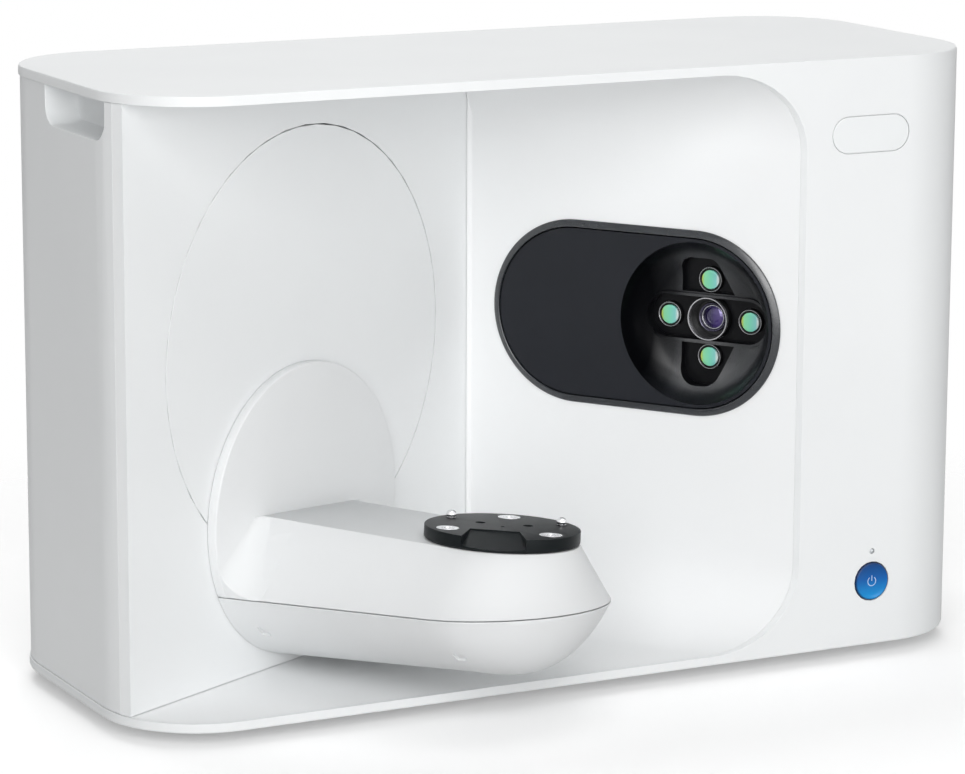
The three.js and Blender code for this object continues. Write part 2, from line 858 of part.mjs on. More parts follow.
// Swing disc, shaft and pulley
const hub = tube(shaftRadius + fit, discHubRadius, discThickness / 2, discHubLength);
const discShape = join(
  turnedY(rod(discRadius, 0, discThickness), discSegments),
  turnedY(hub, driveSegments),
);
const arm = new THREE.Group();
arm.rotation.y = armRest;
discFrame.add(arm);
add(arm, "swing_disc", discShape, whitePaint);
const shaft = rod(shaftRadius, discThickness + 2 * fit, shaftEnd);
add(arm, "swing_shaft", turnedY(shaft, driveSegments), steel);
const swingPulley = pulleyProfile(shaftRadius + fit, swingPulleyRadius, pulleyStart, pulleyEnd);
add(arm, "swing_pulley", turnedY(swingPulley, driveSegments), steel);

// Arm hull. Its sections under the seam are arcs of the flange circle, squeezed towards the keel,
// so that the lower shell leaves the flange without a step.
const seamHeight = (reach) => seamStartHeight + seamRiseShare * reach;
const keelHeight = (reach) =>
  flangeHeight - flangeRadius + keelRiseShare * Math.min(reach, turntableReach);
const flangeHalfWidth = (height) => Math.sqrt(flangeRadius ** 2 - (height - flangeHeight) ** 2);
const seamHalfWidth = flangeHalfWidth(seamStartHeight);
const seamArc = Math.acos(seamHalfWidth / flangeRadius);

const hullRing = (halfWidth, tip, start, segments, heightAt) => {
  const ring = [new Vector3(-halfWidth, -start, heightAt(start))];
  for (let i = 0; i <= segments; i++) {
    const angle = Math.PI * (1 - i / segments);
    const reach = turntableReach + tip * Math.sin(angle);
    ring.push(new Vector3(halfWidth * Math.cos(angle), -reach, heightAt(reach)));
  }
  ring.push(new Vector3(halfWidth, -start, heightAt(start)));
  return ring;
};
const armHull = (inset, start, segments = tipSegments) => {
  const rings = [];
  for (let i = 0; i <= hullSteps; i++) {
    const angle = lerp(keelAngle, seamArc, i / hullSteps);
    const widthShare = Math.cos(angle) / Math.cos(seamArc);
    const depthShare = (Math.sin(angle) - Math.sin(seamArc)) / (1 - Math.sin(seamArc));
    rings.push(
      hullRing(
        (seamHalfWidth - inset) * widthShare,
        (seamTip - inset) * widthShare ** tipRoundingShare,
        start,
        segments,
        (reach) => lerp(seamHeight(reach), keelHeight(reach) + inset, depthShare),
      ),
    );
  }
  const top = armTopHeight - inset;
  rings.push(hullRing(armTopHalfWidth - inset, armTopTip - inset, start, segments, () => top));
  return loft(rings);
};

// Hollow root where the flange runs into the sides of the arm: wide at the seam, tight at the top
const rootBlend = () => {
  const section = (reach) => {
    const side = [];
    for (let i = 0; i <= sideSteps; i++) {
      const drop = 1 - i / sideSteps;
      const height = lerp(armTopHeight, seamHeight(reach), drop);
      const halfWidth = lerp(armTopHalfWidth, seamHalfWidth, drop);
      const length = lerp(topBlend, seamBlend, drop);
      const room = Math.max(flangeHalfWidth(height) - halfWidth, 0);
      const progress = clamp((reach - flangeThickness) / length, 0, 1);
      const flare = Math.min(length, room) * (1 - Math.sqrt(1 - (1 - progress) ** 2));
      side.push(new Vector3(halfWidth + flare, -reach, height));
    }
    const mirrored = side.map((p) => new Vector3(-p.x, p.y, p.z)).reverse();
    return [...side, ...mirrored];
  };
  const rings = [section(flangeThickness / 2)];
  for (let i = 0; i <= blendSteps; i++) {
    const turn = (Math.PI / 2) * (i / blendSteps);
    rings.push(section(flangeThickness + seamBlend * (1 - Math.cos(turn))));
  }
  return loft(rings);
};

const besideSeam = (offset, side) => {
  const far = turntableReach + 2 * seamTip;
  const outline = new THREE.Shape()
    .moveTo(-far, seamHeight(far) + offset)
    .lineTo(far, seamHeight(-far) + offset)
    .lineTo(far, side * bodyHeight)
    .lineTo(-far, side * bodyHeight);
  return sideways(outline, -bodyWidth, bodyWidth);
};
const flange = turnedY(
  [
    [0, -flangeThickness],
    [flangeRadius - flangeChamfer, -flangeThickness],
    [flangeRadius, -flangeThickness + flangeChamfer],
    [flangeRadius, -armRootGap],
    [0, -armRootGap],
  ],
  discSegments,
).translate([0, 0, flangeHeight]);
const hollow = armHull(armWall, armRootGap + armWall, hollowSegments);
const aboutSpindle = (profile, segments) =>
  turnedZ(profile, segments).translate([0, -turntableReach, 0]);
const bossBottom = spindleBearingTop - spindleBearingHeight;
const upperShell = () => {
  let shell = common(join(armHull(0, armRootGap), flange, rootBlend()), besideSeam(seamGap / 2, 1));
  shell = cut(shell, hollow);
  const bossWall = spindleBearingRadius + fit + spindleBossWall;
  const boss = aboutSpindle(rod(bossWall, bossBottom, armTopHeight - armWall / 2), driveSegments);
  shell = join(shell, boss);
  for (const x of [-motorPostOffset, motorPostOffset])
    for (const y of [-motorPostOffset, motorPostOffset]) {
      const post = turnedZ(
        rod(motorPostRadius, turntableMotorTop + fit, armTopHeight - armWall / 2),
        smallSegments,
      );
      shell = join(shell, post.translate([x, y - turntableMotorReach, 0]));
    }
  return cut(
    shell,
    aboutSpindle(rod(spindleRadius + running, bossBottom - fit, 0), driveSegments),
    aboutSpindle(rod(spindleBearingRadius + fit, bossBottom - fit, spindleBearingTop + fit), driveSegments),
  );
};
const clipNotch = ({ side, reach, drop }) =>
  block(
    -side - seamTip,
    -side + 2 * clipHeight,
    -reach - clipWidth / 2,
    -reach + clipWidth / 2,
    seamStartHeight - drop - clipHeight / 2,
    seamStartHeight - drop + clipHeight / 2,
  );
const clips = [frontClip, rearClip].map((clip) => cut(clipNotch(clip), armHull(clipDepth, 0)));
const lowerShell = cut(
  common(armHull(0, armRootGap), besideSeam(-seamGap / 2, -1)),
  hollow,
  ...clips,
  ...clips.map((clip) => clip.mirror([1, 0, 0])),
);
add(arm, "arm_upper_shell", upperShell(), whitePaint);
add(arm, "arm_lower_shell", lowerShell, whitePaint);

// Turntable drive inside the arm
const spindleBearing = aboutSpindle(
  tube(spindleRadius + fit, spindleBearingRadius, bossBottom, spindleBearingTop),
  driveSegments,
);
add(arm, "turntable_bearing", spindleBearing, steel);

const turntableMotorBlank = upright(
  roundedRectangle(turntableMotorSize, turntableMotorSize, motorCorner, 0, -turntableMotorReach),
  turntableMotorTop - turntableMotorHeight,
  turntableMotorTop,
  smallCornerSegments,
);
const aboutMotor = (profile, segments) =>
  turnedZ(profile, segments).translate([0, -turntableMotorReach, 0]);
const turntableMotorBore = aboutMotor(
  rod(motorShaftRadius + fit, turntableMotorTop - motorBoreDepth, 0),
  smallSegments,
);
add(arm, "turntable_motor", cut(turntableMotorBlank, turntableMotorBore), blackPlastic);

const beltLow = turntablePulleyTop - turntablePulleyWidth;
const motorShaftBottom = turntableMotorTop - motorBoreDepth + fit;
const turntableMotorPulley = join(
  turnedZ(rod(motorShaftRadius, motorShaftBottom, turntablePulleyTop), smallSegments),
  turnedZ(pulleyProfile(0, turntableMotorPulleyRadius, beltLow, turntablePulleyTop), smallSegments),
);
const turntableMotorPulleyGroup = new THREE.Group();
turntableMotorPulleyGroup.position.y = -turntableMotorReach;
arm.add(turntableMotorPulleyGroup);
add(turntableMotorPulleyGroup, "turntable_motor_pulley", turntableMotorPulley, steel);

const turntableBelt = upright(
  beltOutline(
    turntablePulleyRadius,
    turntableMotorPulleyRadius,
    turntableReach - turntableMotorReach,
  ),
  beltLow + pulleyRim + fit,
  turntablePulleyTop - pulleyRim - fit,
  driveSegments / 2,
)
  .rotate([0, 0, 90])
  .translate([0, -turntableReach, 0]);
add(arm, "turntable_belt", turntableBelt, rubber);

// Turntable. Angles are counted from the notch; heights from the underside of the plate.
const turntable = new THREE.Group();
turntable.position.set(0, -turntableReach, armTopHeight + plateGap);
turntable.rotation.z = notchAngle;
arm.add(turntable);
const onCircle = (radius, angle) => [radius * Math.cos(angle), radius * Math.sin(angle), 0];
const insertAngles = [-Math.PI / 3, Math.PI / 3, Math.PI];
const plateBlank = turnedZ(
  [
    [0, 0],
    [plateRadius - plateChamfer, 0],
    [plateRadius, plateChamfer],
    [plateRadius, plateHeight - plateChamfer],
    [plateRadius - plateChamfer, plateHeight],
    [0, plateHeight],
  ],
  plateSegments,
);
const notchOutline = new THREE.Shape([
  new Vector2(notchInner, -notchHalfWidth),
  new Vector2(plateRadius, -notchOuterHalfWidth),
  new Vector2(plateRadius + notchInner, 0),
  new Vector2(plateRadius, notchOuterHalfWidth),
  new Vector2(notchInner, notchHalfWidth),
]);
// The notch has a sloping floor that runs out low on the rim.
const notchSlope = new THREE.Shape([
  new Vector2(notchInner, plateHeight - notchStep),
  new Vector2(plateRadius, plateHeight - notchDepth),
  new Vector2(2 * plateRadius, plateHeight - notchDepth),
  new Vector2(2 * plateRadius, 2 * plateHeight),
  new Vector2(0, 2 * plateHeight),
  new Vector2(0, plateHeight - notchStep),
]);
const drilled = (radius, depth, position, segments = smallSegments) =>
  turnedZ(rod(radius, plateHeight - depth, 2 * plateHeight), segments).translate(position);
const plateShape = cut(
  plateBlank,
  common(upright(notchOutline, 0, 2 * plateHeight), backward(notchSlope, -plateRadius, plateRadius)),
  ...insertAngles.map((angle) =>
    drilled(insertRadius + fit / 2, insertThickness + fit, onCircle(insertCircle, angle), driveSegments),
  ),
  ...[-pinAngle, pinAngle].map((angle) =>
    drilled(pinStemRadius + fit, pinStemDepth + fit, onCircle(pinCircle, angle)),
  ),
  ...[-threadAngle, threadAngle].map((angle) =>
    drilled(threadRadius, pinStemDepth, onCircle(threadCircle, angle)),
  ),
  drilled(centreMarkRadius, markDepth, [0, 0, 0]),
);
add(turntable, "turntable_plate", plateShape, plateBlack);
insertAngles.forEach((angle, i) => {
  const insert = turnedZ(
    [
      [0, plateHeight - insertThickness],
      [insertRadius, plateHeight - insertThickness],
      [insertRadius, plateHeight],
      [insertDimple, plateHeight],
      [insertDimple - insertDimpleDepth, plateHeight - insertDimpleDepth],
      [0, plateHeight - insertDimpleDepth],
    ],
    driveSegments,
  );
  add(turntable, "plate_insert_" + (i + 1), insert.translate(onCircle(insertCircle, angle)), brightSteel);
});
[-pinAngle, pinAngle].forEach((angle, i) => {
  const ballCentre = plateHeight - pinBallSink + pinBallRadius;
  const ballStart = Math.asin(pinStemRadius / pinBallRadius);
  const profile = [
    [0, plateHeight - pinStemDepth],
    [pinStemRadius, plateHeight - pinStemDepth],
  ];
  for (let step = 0; step < ballSteps; step++) {
    const turn = lerp(ballStart, Math.PI, step / ballSteps);
    profile.push([pinBallRadius * Math.sin(turn), ballCentre - pinBallRadius * Math.cos(turn)]);
  }
  profile.push([0, ballCentre + pinBallRadius]);
  const pin = turnedZ(profile, driveSegments / 2).translate(onCircle(pinCircle, angle));
  add(turntable, "locating_pin_" + (i + 1), pin, brightSteel);
});
const spindle = turnedZ(rod(spindleRadius, -spindleLength, -fit), driveSegments);
add(turntable, "turntable_spindle", spindle, steel);
const pulleyHigh = turntablePulleyTop - armTopHeight - plateGap;
const turntablePulley = turnedZ(
  pulleyProfile(
    spindleRadius + fit,
    turntablePulleyRadius,
    pulleyHigh - turntablePulleyWidth,
    pulleyHigh,
  ),
  driveSegments,
);
add(turntable, "turntable_pulley", turntablePulley, steel);

// Camera head: bezel, face with dish, slot and two sail-shaped recesses
const bezelBlank = new THREE.ExtrudeGeometry(pill(headHalfStraight, headRadius - bezelBevel), {
  depth: bezelDepth,
  bevelSize: bezelBevel,
  bevelThickness: bezelBevelHeight,
  bevelSegments: 1,
  curveSegments: pillSegments,
});
const bezelTurn = new THREE.Matrix4().makeBasis(axisX, axisZ, axisY.clone().negate());
const bezelFlange = common(
  solid(bezelBlank.applyMatrix4(bezelTurn).translate(0, bezelDepth + bezelBevelHeight - bezelProud, 0)),
  block(-bodyWidth, bodyWidth, -bodyWidth, -fit, -bodyWidth, bodyWidth),
);
const bezel = cut(
  join(
    bezelFlange,
    backward(pill(headHalfStraight, bezelNeckRadius), -bezelProud / 2, bezelDepth, pillSegments),
  ),
  backward(pill(headHalfStraight, bezelBore), -2 * bezelProud, bezelDepth + fit, pillSegments),
);
add(headFrame, "head_bezel", bezel, darkPlastic);

const sailOutline = (flip) => {
  const { inner, outer, bottom, top, slantX, corner } = sail;
  const points = [
    [inner, bottom],
    [outer, bottom],
    [slantX, top - corner / 2],
    [slantX - corner / 2, top],
    [inner + corner, top],
    [inner + (1 - Math.SQRT1_2) * corner, top - (1 - Math.SQRT1_2) * corner],
    [inner, top - corner],
  ];
  const turned = flip ? points.map(([x, z]) => [x, -z]).reverse() : points;
  return new THREE.Shape(turned.map(([x, z]) => new Vector2(lensX + x, z)));
};
const dishSolid = (grow, front, segments) => {
  const mouth = Math.min(dishRadius + grow, faceRadius - fit);
  const profile = [[0, front], [mouth, front]];
  for (let i = 0; i <= dishSteps; i++) {
    const turn = (Math.PI / 2) * (i / dishSteps);
    profile.push([
      lerp(dishFlatRadius + grow, mouth, Math.cos(turn)),
      lerp(-faceProud, dishDepth, Math.sin(turn)) + grow,
    ]);
  }
  return turnedY([...profile, [0, dishDepth + grow]], segments).translate([lensX, 0, 0]);
};
const slotShape = (grow) => pill(slotHalfStraight, slotRadius + grow, lensX, 0);
const lensPlaces = [
  ["left", -cameraSpanX, 0],
  ["right", cameraSpanX, 0],
  ["top", 0, cameraSpanZ],
  ["bottom", 0, -cameraSpanZ],
].map(([side, x, z]) => ({ side, position: [lensX + x, 0, z] }));
const cameraHole = turnedY(rod(cameraRadius + fit, 0, cameraBack), driveSegments);
const headFace = () => {
  const faceFront = -faceProud;
  const housingRadius = slotHalfStraight + slotRadius + dishWall;
  const housing = turnedY(rod(housingRadius, dishDepth, recessDepth + recessWall), driveSegments);
  let face = join(
    backward(pill(headHalfStraight, faceRadius), faceFront, faceFront + faceThickness, pillSegments),
    dishSolid(dishWall, faceFront + fit, driveSegments),
    housing.translate([lensX, 0, 0]),
  );
  for (const x of [-facePostX, -facePostX / 2])
    for (const z of [-facePostZ, facePostZ]) {
      const post = turnedY(rod(facePostRadius, 0, headBracketFace - fit), smallSegments);
      face = join(face, post.translate([x, 0, z]));
    }
  face = cut(face, dishSolid(0, faceFront - fit, roundSegments));
  const lip = backward(slotShape(slotLip), dishDepth - slotLip, dishDepth + slotLip);
  face = join(face, lip);
  const recess = (outline) => backward(outline, 0, recessDepth);
  face = cut(
    face,
    recess(slotShape(0)),
    recess(sailOutline(false)),
    recess(sailOutline(true)),
    turnedY(rod(ringRadius + fit, 0, headBracketFace)).translate([lensX, 0, 0]),
  );
  return cut(face, ...lensPlaces.map(({ position }) => cameraHole.translate(position)));
};
add(headFrame, "head_face", headFace(), darkPlastic);

const hatOutline = () => {
  const half = headBracketHalfWidth;
  const sheet = headBracketThickness;
  const seat = linerThickness + fit;
  const back = headBracketFace + sheet;
  const sides = [
    [half + headBracketTab, seat],
    [half + headBracketTab, seat + sheet],
    [half, seat + sheet],
    [half, back],
  ];
  const inside = [
    [half - sheet, seat],
    [half - sheet, headBracketFace],
  ];
  const mirror = (points) => points.map(([x, y]) => [-x, y]).reverse();
  const points = [...sides, ...mirror(sides), ...inside.map(([x, y]) => [-x, y]), ...inside.reverse()];
  return new THREE.Shape(points.map(([x, y]) => new Vector2(x, y)));
};
const headBracket = cut(
  upright(hatOutline(), -headBracketHalfHeight, headBracketHalfHeight),
  ...lensPlaces.map(({ position }) => cameraHole.translate(position)),
  turnedY(rod(projectorRadius + fit, 0, projectorBack), driveSegments).translate([lensX, 0, 0]),
);
add(headFrame, "head_bracket", headBracket, sheetMetal);

// Cameras and projector. Their glasses bulge out in a shallow bowl from the rim to the middle.
const domed = (radius, apex, bulge) => {
  const profile = [];
  for (let i = 0; i <= lensSteps; i++) {
    const share = i / lensSteps;
    profile.push([radius * share, apex + bulge * share ** 2]);
  }
  return profile;
};
lensPlaces.forEach(({ side, position }) => {
  const seat = cameraFront + cameraLensDepth;
  const barrel = turnedY(
    [
      [0, seat],
      [cameraLensRadius + fit, seat],
      [cameraLensRadius + fit, cameraFront],
      [cameraRadius, cameraFront],
      [cameraRadius, cameraBack],
      [0, cameraBack],
    ],
    driveSegments,
  );
  add(headFrame, "camera_" + side, barrel.translate(position), blackPlastic);
  const glass = turnedY(
    [
      ...domed(cameraLensRadius, cameraFront, lensBulge),
      [cameraLensRadius, seat - fit],
      [0, seat - fit],
    ],
    driveSegments,
  );
  add(headFrame, "camera_lens_" + side, glass.translate(position), lensGreen);
});
const projectorBarrel = turnedY([
  [0, projectorSeat],
  [projectorInnerBore, projectorSeat],
  [projectorInnerBore, projectorStep],
  [projectorBore, projectorStep],
  [projectorBore, projectorFront],
  [projectorRadius, projectorFront],
  [projectorRadius, projectorBack],
  [0, projectorBack],
]);
add(headFrame, "projector_barrel", projectorBarrel.translate([lensX, 0, 0]), blackPlastic);
const projectorRing = turnedY(tube(ringBore, ringRadius, ringFront, projectorFront - fit));
add(headFrame, "projector_ring", projectorRing.translate([lensX, 0, 0]), brightSteel);
const glassBack = projectorSeat - fit;
const glassApex = glassBack - projectorLensThickness - projectorLensBulge;
const projectorGlass = turnedY(
  [
    ...domed(projectorLensRadius, glassApex, projectorLensBulge),
    [projectorLensRadius, glassBack],
    [0, glassBack],
  ],
  driveSegments,
);
add(headFrame, "projector_lens", projectorGlass.translate([lensX, 0, 0]), lensPurple);

// Rear cover with vents, the fan, sockets and the power switch
const rearOuter = bodyDepth / 2 - coverInset;
const rearInner = rearOuter - coverThickness;
const rearOpening = (x, width, height) =>
  block(
    x - width / 2 - fit,
    x + width / 2 + fit,
    rearInner - fit,
    rearOuter + fit,
    socketHeight - height / 2 - fit,
    socketHeight + height / 2 + fit,
  );
const rearCover = () => {
  let cover = block(-rearSeamX + fit / 2, rearSeamX - fit / 2, rearInner, rearOuter, wallLow, wallHigh);
  const postLength = boardStandoff - fit;
  for (const x of [boardLeft + boardPostInset, boardRight - boardPostInset])
    for (const z of [boardBottom + boardPostInset, boardTop - boardPostInset]) {
      const post = turnedY(rod(bossRadius, rearInner - postLength, rearInner + fit), smallSegments);
      cover = join(cover, post.translate([x, 0, z]));
    }
  for (const x of [intakeX, fanX])
    for (let i = 0; i < ventCount; i++) {
      const z = fanHeight + (i - (ventCount - 1) / 2) * ventPitch;
      cover = cut(
        cover,
        block(
          x - ventWidth / 2,
          x + ventWidth / 2,
          rearInner - fit,
          rearOuter + fit,
          z - ventHeight / 2,
          z + ventHeight / 2,
        ),
      );
    }
  return cut(
    cover,
    rearOpening(inletX, inletWidth, inletHeight),
    rearOpening(rockerX, housingWidth, housingHeight),
    rearOpening(usbX, usbWidth, usbHeight),
  );
};
add(machine, "rear_cover", rearCover(), whitePaint);

const inletShape = () => {
  const flangeSide = rearOuter + fit;
  const front = flangeSide + inletFlangeThickness;
  const back = front - inletDepth;
  const centred = (width, height, corner) =>
    roundedRectangle(width, height, corner, inletX, socketHeight);
  let shape = join(
    backward(centred(inletWidth, inletHeight, inletWall), back, front, smallCornerSegments),
    backward(
      centred(inletFlangeWidth, inletFlangeHeight, inletWall),
      flangeSide,
      front,
      smallCornerSegments,
    ),
  );
  const pocket = centred(inletWidth - 2 * inletWall, inletHeight - 2 * inletWall, inletWall);
  shape = cut(shape, backward(pocket, front - inletPocket, front + fit, smallCornerSegments));
  for (const [side, drop] of [[-1, -1], [1, -1], [0, 1]]) {
    const x = inletX + side * inletPinX;
    const z = socketHeight + drop * inletPinDrop;
    shape = join(
      shape,
      block(
        x - inletPinWidth / 2,
        x + inletPinWidth / 2,
        front - inletPocket - fit,
        front - inletPocket + inletPinLength,
        z - inletPinHeight / 2,
        z + inletPinHeight / 2,
      ),
    );
  }
  return shape;
};
add(machine, "power_inlet", inletShape(), fanBlack);

const usbShape = () => {
  const outline = roundedRectangle(usbWidth, usbHeight, usbWall, usbX, socketHeight);
  outline.holes.push(
    roundedRectangle(usbWidth - 2 * usbWall, usbHeight - 2 * usbWall, usbWall / 2, usbX, socketHeight),
  );
  const back = rearOuter - usbDepth;
  const tongue = block(
    usbX - usbTongueWidth / 2,
    usbX + usbTongueWidth / 2,
    back,
    rearOuter - usbWall,
    socketHeight - usbTongueHeight / 2,
    socketHeight + usbTongueHeight / 2,
  );
  const rear = roundedRectangle(usbWidth, usbHeight, usbWall, usbX, socketHeight);
  return join(
    backward(outline, back, rearOuter, smallCornerSegments),
    backward(rear, back, back + usbWall, smallCornerSegments),
    tongue,
  );
};
add(machine, "usb_socket", usbShape(), steel);

// The rocker turns about an axis along X behind the cover; it rests with its lower end in.
const rockerAxisY = rearOuter - rockerRadius + rockerProud;
const housingShape = () => {
  const outline = (width, height) => roundedRectangle(width, height, inletWall / 2, rockerX, socketHeight);
  const back = rearOuter - housingDepth;
  const rim = 2 * running;
  const swing = 2 * rockerRadius * Math.sin(rockerTilt);
  const bore = outline(rockerWidth + rim, rockerHeight + swing + 2 * fit);
  return cut(
    join(
      backward(outline(housingWidth, housingHeight), back, rearOuter + fit, smallCornerSegments),
      backward(
        outline(housingWidth + 2 * rim, housingHeight + 2 * rim),
        rearOuter + fit,
        rearOuter + rim,
        smallCornerSegments,
      ),
    ),
    backward(bore, back + rim, rearOuter + 2 * rim, smallCornerSegments),
  );
};
add(machine, "switch_housing", housingShape(), blackPlastic);
const rockerOutline = () => {
  const halfSpan = Math.asin(rockerHeight / 2 / rockerRadius);
  const dip = rockerRadius - rockerProud;
  return new THREE.Shape()
    .moveTo(rockerRadius / 3, -rockerHeight / 4)
    .lineTo(rockerRadius * Math.cos(halfSpan), -rockerHeight / 2)
    .lineTo(rockerRadius, -rockerHeight / 2)
    .lineTo(dip, 0)
    .lineTo(rockerRadius, rockerHeight / 2)
    .lineTo(rockerRadius * Math.cos(halfSpan), rockerHeight / 2)
    .lineTo(rockerRadius / 3, rockerHeight / 4);
};
const rocker = new THREE.Group();
rocker.position.set(rockerX, rockerAxisY, socketHeight);
rocker.rotation.x = rockerTilt;
machine.add(rocker);
add(rocker, "rear_switch", sideways(rockerOutline(), -rockerWidth / 2, rockerWidth / 2), blackPlastic);

// Fan behind the right-hand vents
const fanBack = rearInner - fit;
const fanFront = fanBack - fanDepth;
const fanFrame = () => {
  const outline = roundedRectangle(fanSize, fanSize, fanCorner, fanX, fanHeight);
  const middle = [fanX, 0, fanHeight];
  let shape = cut(
    backward(outline, fanFront, fanBack, smallCornerSegments),
    turnedY(rod(fanBore, fanFront - fit, fanBack + fit)).translate(middle),
  );
  const span = fanBore + fit;
  const half = fanSparWidth / 2;
  const sparEnd = fanFront + fanSparDepth;
  const spars = join(
    block(-span, span, fanFront, sparEnd, -half, half),
    block(-half, half, fanFront, sparEnd, -span, span),
    turnedY(rod(fanHubRadius, fanFront, sparEnd), driveSegments),
  );
  shape = join(shape, spars.translate(middle));
  const axle = turnedY(rod(fanAxleRadius + fit, fanFront - fit, fanBack), smallSegments);
  return cut(shape, axle.translate(middle));
};
add(machine, "fan_frame", fanFrame(), fanBlack);
const rotorShape = () => {
  const hubStart = fanSparDepth + running;
  const hubEnd = fanDepth - fanHubInset;
  let shape = join(
    turnedY(rod(fanHubRadius, hubStart, hubEnd), driveSegments),
    turnedY(rod(fanAxleRadius, 0, hubEnd), smallSegments),
  );
  const middle = (hubStart + hubEnd) / 2;
  for (let i = 0; i < bladeCount; i++) {
    const blade = block(
      fanHubRadius - fanAxleRadius,
      fanRotorRadius,
      -bladeThickness / 2,
      bladeThickness / 2,
      -bladeDepth / 2,
      bladeDepth / 2,
    );
    const pitch = THREE.MathUtils.radToDeg(bladePitch);
    const turn = (360 * i) / bladeCount;
    shape = join(shape, blade.rotate([pitch, 0, 0]).rotate([0, turn, 0]).translate([0, middle, 0]));
  }
  return shape;
};
const fan = new THREE.Group();
fan.position.set(fanX, fanFront, fanHeight);
machine.add(fan);
add(fan, "fan_rotor", rotorShape(), fanBlack);

// Main board on the posts of the rear cover
const boardBack = rearInner - boardStandoff;
const boardFront = boardBack - boardThickness;
const boardMiddleX = (boardLeft + boardRight) / 2;
const boardMiddleZ = (boardBottom + boardTop) / 2;
const mainBoard = join(
  block(boardLeft, boardRight, boardFront, boardBack, boardBottom, boardTop),
  block(
    boardMiddleX - chipSize / 2,
    boardMiddleX + chipSize / 2,
    boardFront - chipHeight,
    boardFront + boardThickness / 2,
    boardMiddleZ - chipSize / 2,
    boardMiddleZ + chipSize / 2,
  ),
  block(
    boardMiddleX - plugWidth / 2,
    boardMiddleX + plugWidth / 2,
    boardFront - plugHeight,
    boardFront + boardThickness / 2,
    boardTop - boardPostInset - plugDepth,
    boardTop - boardPostInset,
  ),
);
add(machine, "main_board", mainBoard, boardGreen);

// Power supply on the chassis sheet
const supplyShape = () => {
  const low = chassisTop + fit;
  const high = low + supplyHeight;
  let shape = cut(
    block(supplyLeft, supplyRight, supplyFront, supplyBack, low, high),
    block(
      supplyLeft + supplyWall,
      supplyRight - supplyWall,
      supplyFront + supplyWall,
      supplyBack - supplyWall,
      low + supplyWall,
      high - supplyWall,
    ),
  );
  const middle = (supplyLeft + supplyRight) / 2;
  const across = (supplyFront + supplyBack) / 2;
  for (let i = 0; i < supplySlotCount; i++) {
    const x = middle + (i - (supplySlotCount - 1) / 2) * supplySlotPitch;
    shape = cut(
      shape,
      block(
        x - supplySlotWidth / 2,
        x + supplySlotWidth / 2,
        across - supplySlotLength / 2,
        across + supplySlotLength / 2,
        high - 2 * supplyWall,
        high + fit,
      ),
    );
  }
  return shape;
};
add(machine, "power_supply", supplyShape(), sheetMetal);

// The part's origin is the middle of its footprint, at the height of the ground.
const bounds = new THREE.Box3().setFromObject(scanner, true);
const footprint = bounds.getCenter(new Vector3());
machine.position.set(-footprint.x, -footprint.y, -bounds.min.z);

export default scanner;
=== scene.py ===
import json
from math import acos, cos, hypot, pi, radians, sin, sqrt
import bmesh
import bpy
from mathutils import Matrix, Vector


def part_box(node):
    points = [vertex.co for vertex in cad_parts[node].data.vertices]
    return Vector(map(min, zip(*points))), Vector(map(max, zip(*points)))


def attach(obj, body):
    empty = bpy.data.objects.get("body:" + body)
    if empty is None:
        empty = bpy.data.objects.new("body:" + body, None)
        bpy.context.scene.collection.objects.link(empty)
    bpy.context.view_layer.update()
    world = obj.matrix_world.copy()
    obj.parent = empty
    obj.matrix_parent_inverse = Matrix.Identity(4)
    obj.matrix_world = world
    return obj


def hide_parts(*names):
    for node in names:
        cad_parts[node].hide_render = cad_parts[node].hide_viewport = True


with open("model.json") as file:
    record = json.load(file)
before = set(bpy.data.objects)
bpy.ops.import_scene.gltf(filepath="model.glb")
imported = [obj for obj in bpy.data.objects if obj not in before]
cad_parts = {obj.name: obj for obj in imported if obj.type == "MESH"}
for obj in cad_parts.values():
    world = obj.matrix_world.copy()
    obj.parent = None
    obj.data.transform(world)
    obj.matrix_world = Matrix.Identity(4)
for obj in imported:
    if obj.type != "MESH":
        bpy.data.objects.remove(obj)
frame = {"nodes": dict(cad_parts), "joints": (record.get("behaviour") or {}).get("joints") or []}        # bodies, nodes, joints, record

mm = 0.001
weldGap = 0.01 * mm        # points closer than this are merged in a finished mesh
closeGap = 1e-7            # and these where a profile ends in the point it began with
nodes = frame["nodes"]
scene = bpy.context.scene
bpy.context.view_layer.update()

# The casing's own origin: the middle of its footprint, at the underside of its base plate.
frameLow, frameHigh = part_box("outer_frame")
casingOrigin = Vector(((frameLow.x + frameHigh.x) / 2, (frameLow.y + frameHigh.y) / 2, frameLow.z))
joints = {joint["name"]: joint for joint in frame["joints"]}


# A local frame as a matrix: X to the right, Y up, Z out of the surface towards the viewer.
def axesAt(place, right, up):
    outward = right.cross(up)
    turn = Matrix((right, up, outward)).transposed().to_4x4()
    return Matrix.Translation(place) @ turn


upward = Vector((0, 0, 1))

# The chamber's right wall in plan, in millimetres: from its back corner to the front panel
wall = {"vertex": (18.988, 70.294), "opening": (133.017, -102.5), "headAlong": 105.0, "headHeight": 178.0}
wallStart, wallEnd = Vector((*wall["vertex"], 0)) * mm, Vector((*wall["opening"], 0)) * mm
wallRight = (wallEnd - wallStart).normalized()
headMiddle = wallStart + wallRight * wall["headAlong"] * mm + upward * wall["headHeight"] * mm
headFrame = axesAt(casingOrigin + headMiddle, wallRight, upward)
panelFront = -0.1025       # plane of the front panel, from the middle of the casing
panelFrame = axesAt(casingOrigin + Vector((0, panelFront, 0)), Vector((1, 0, 0)), upward)

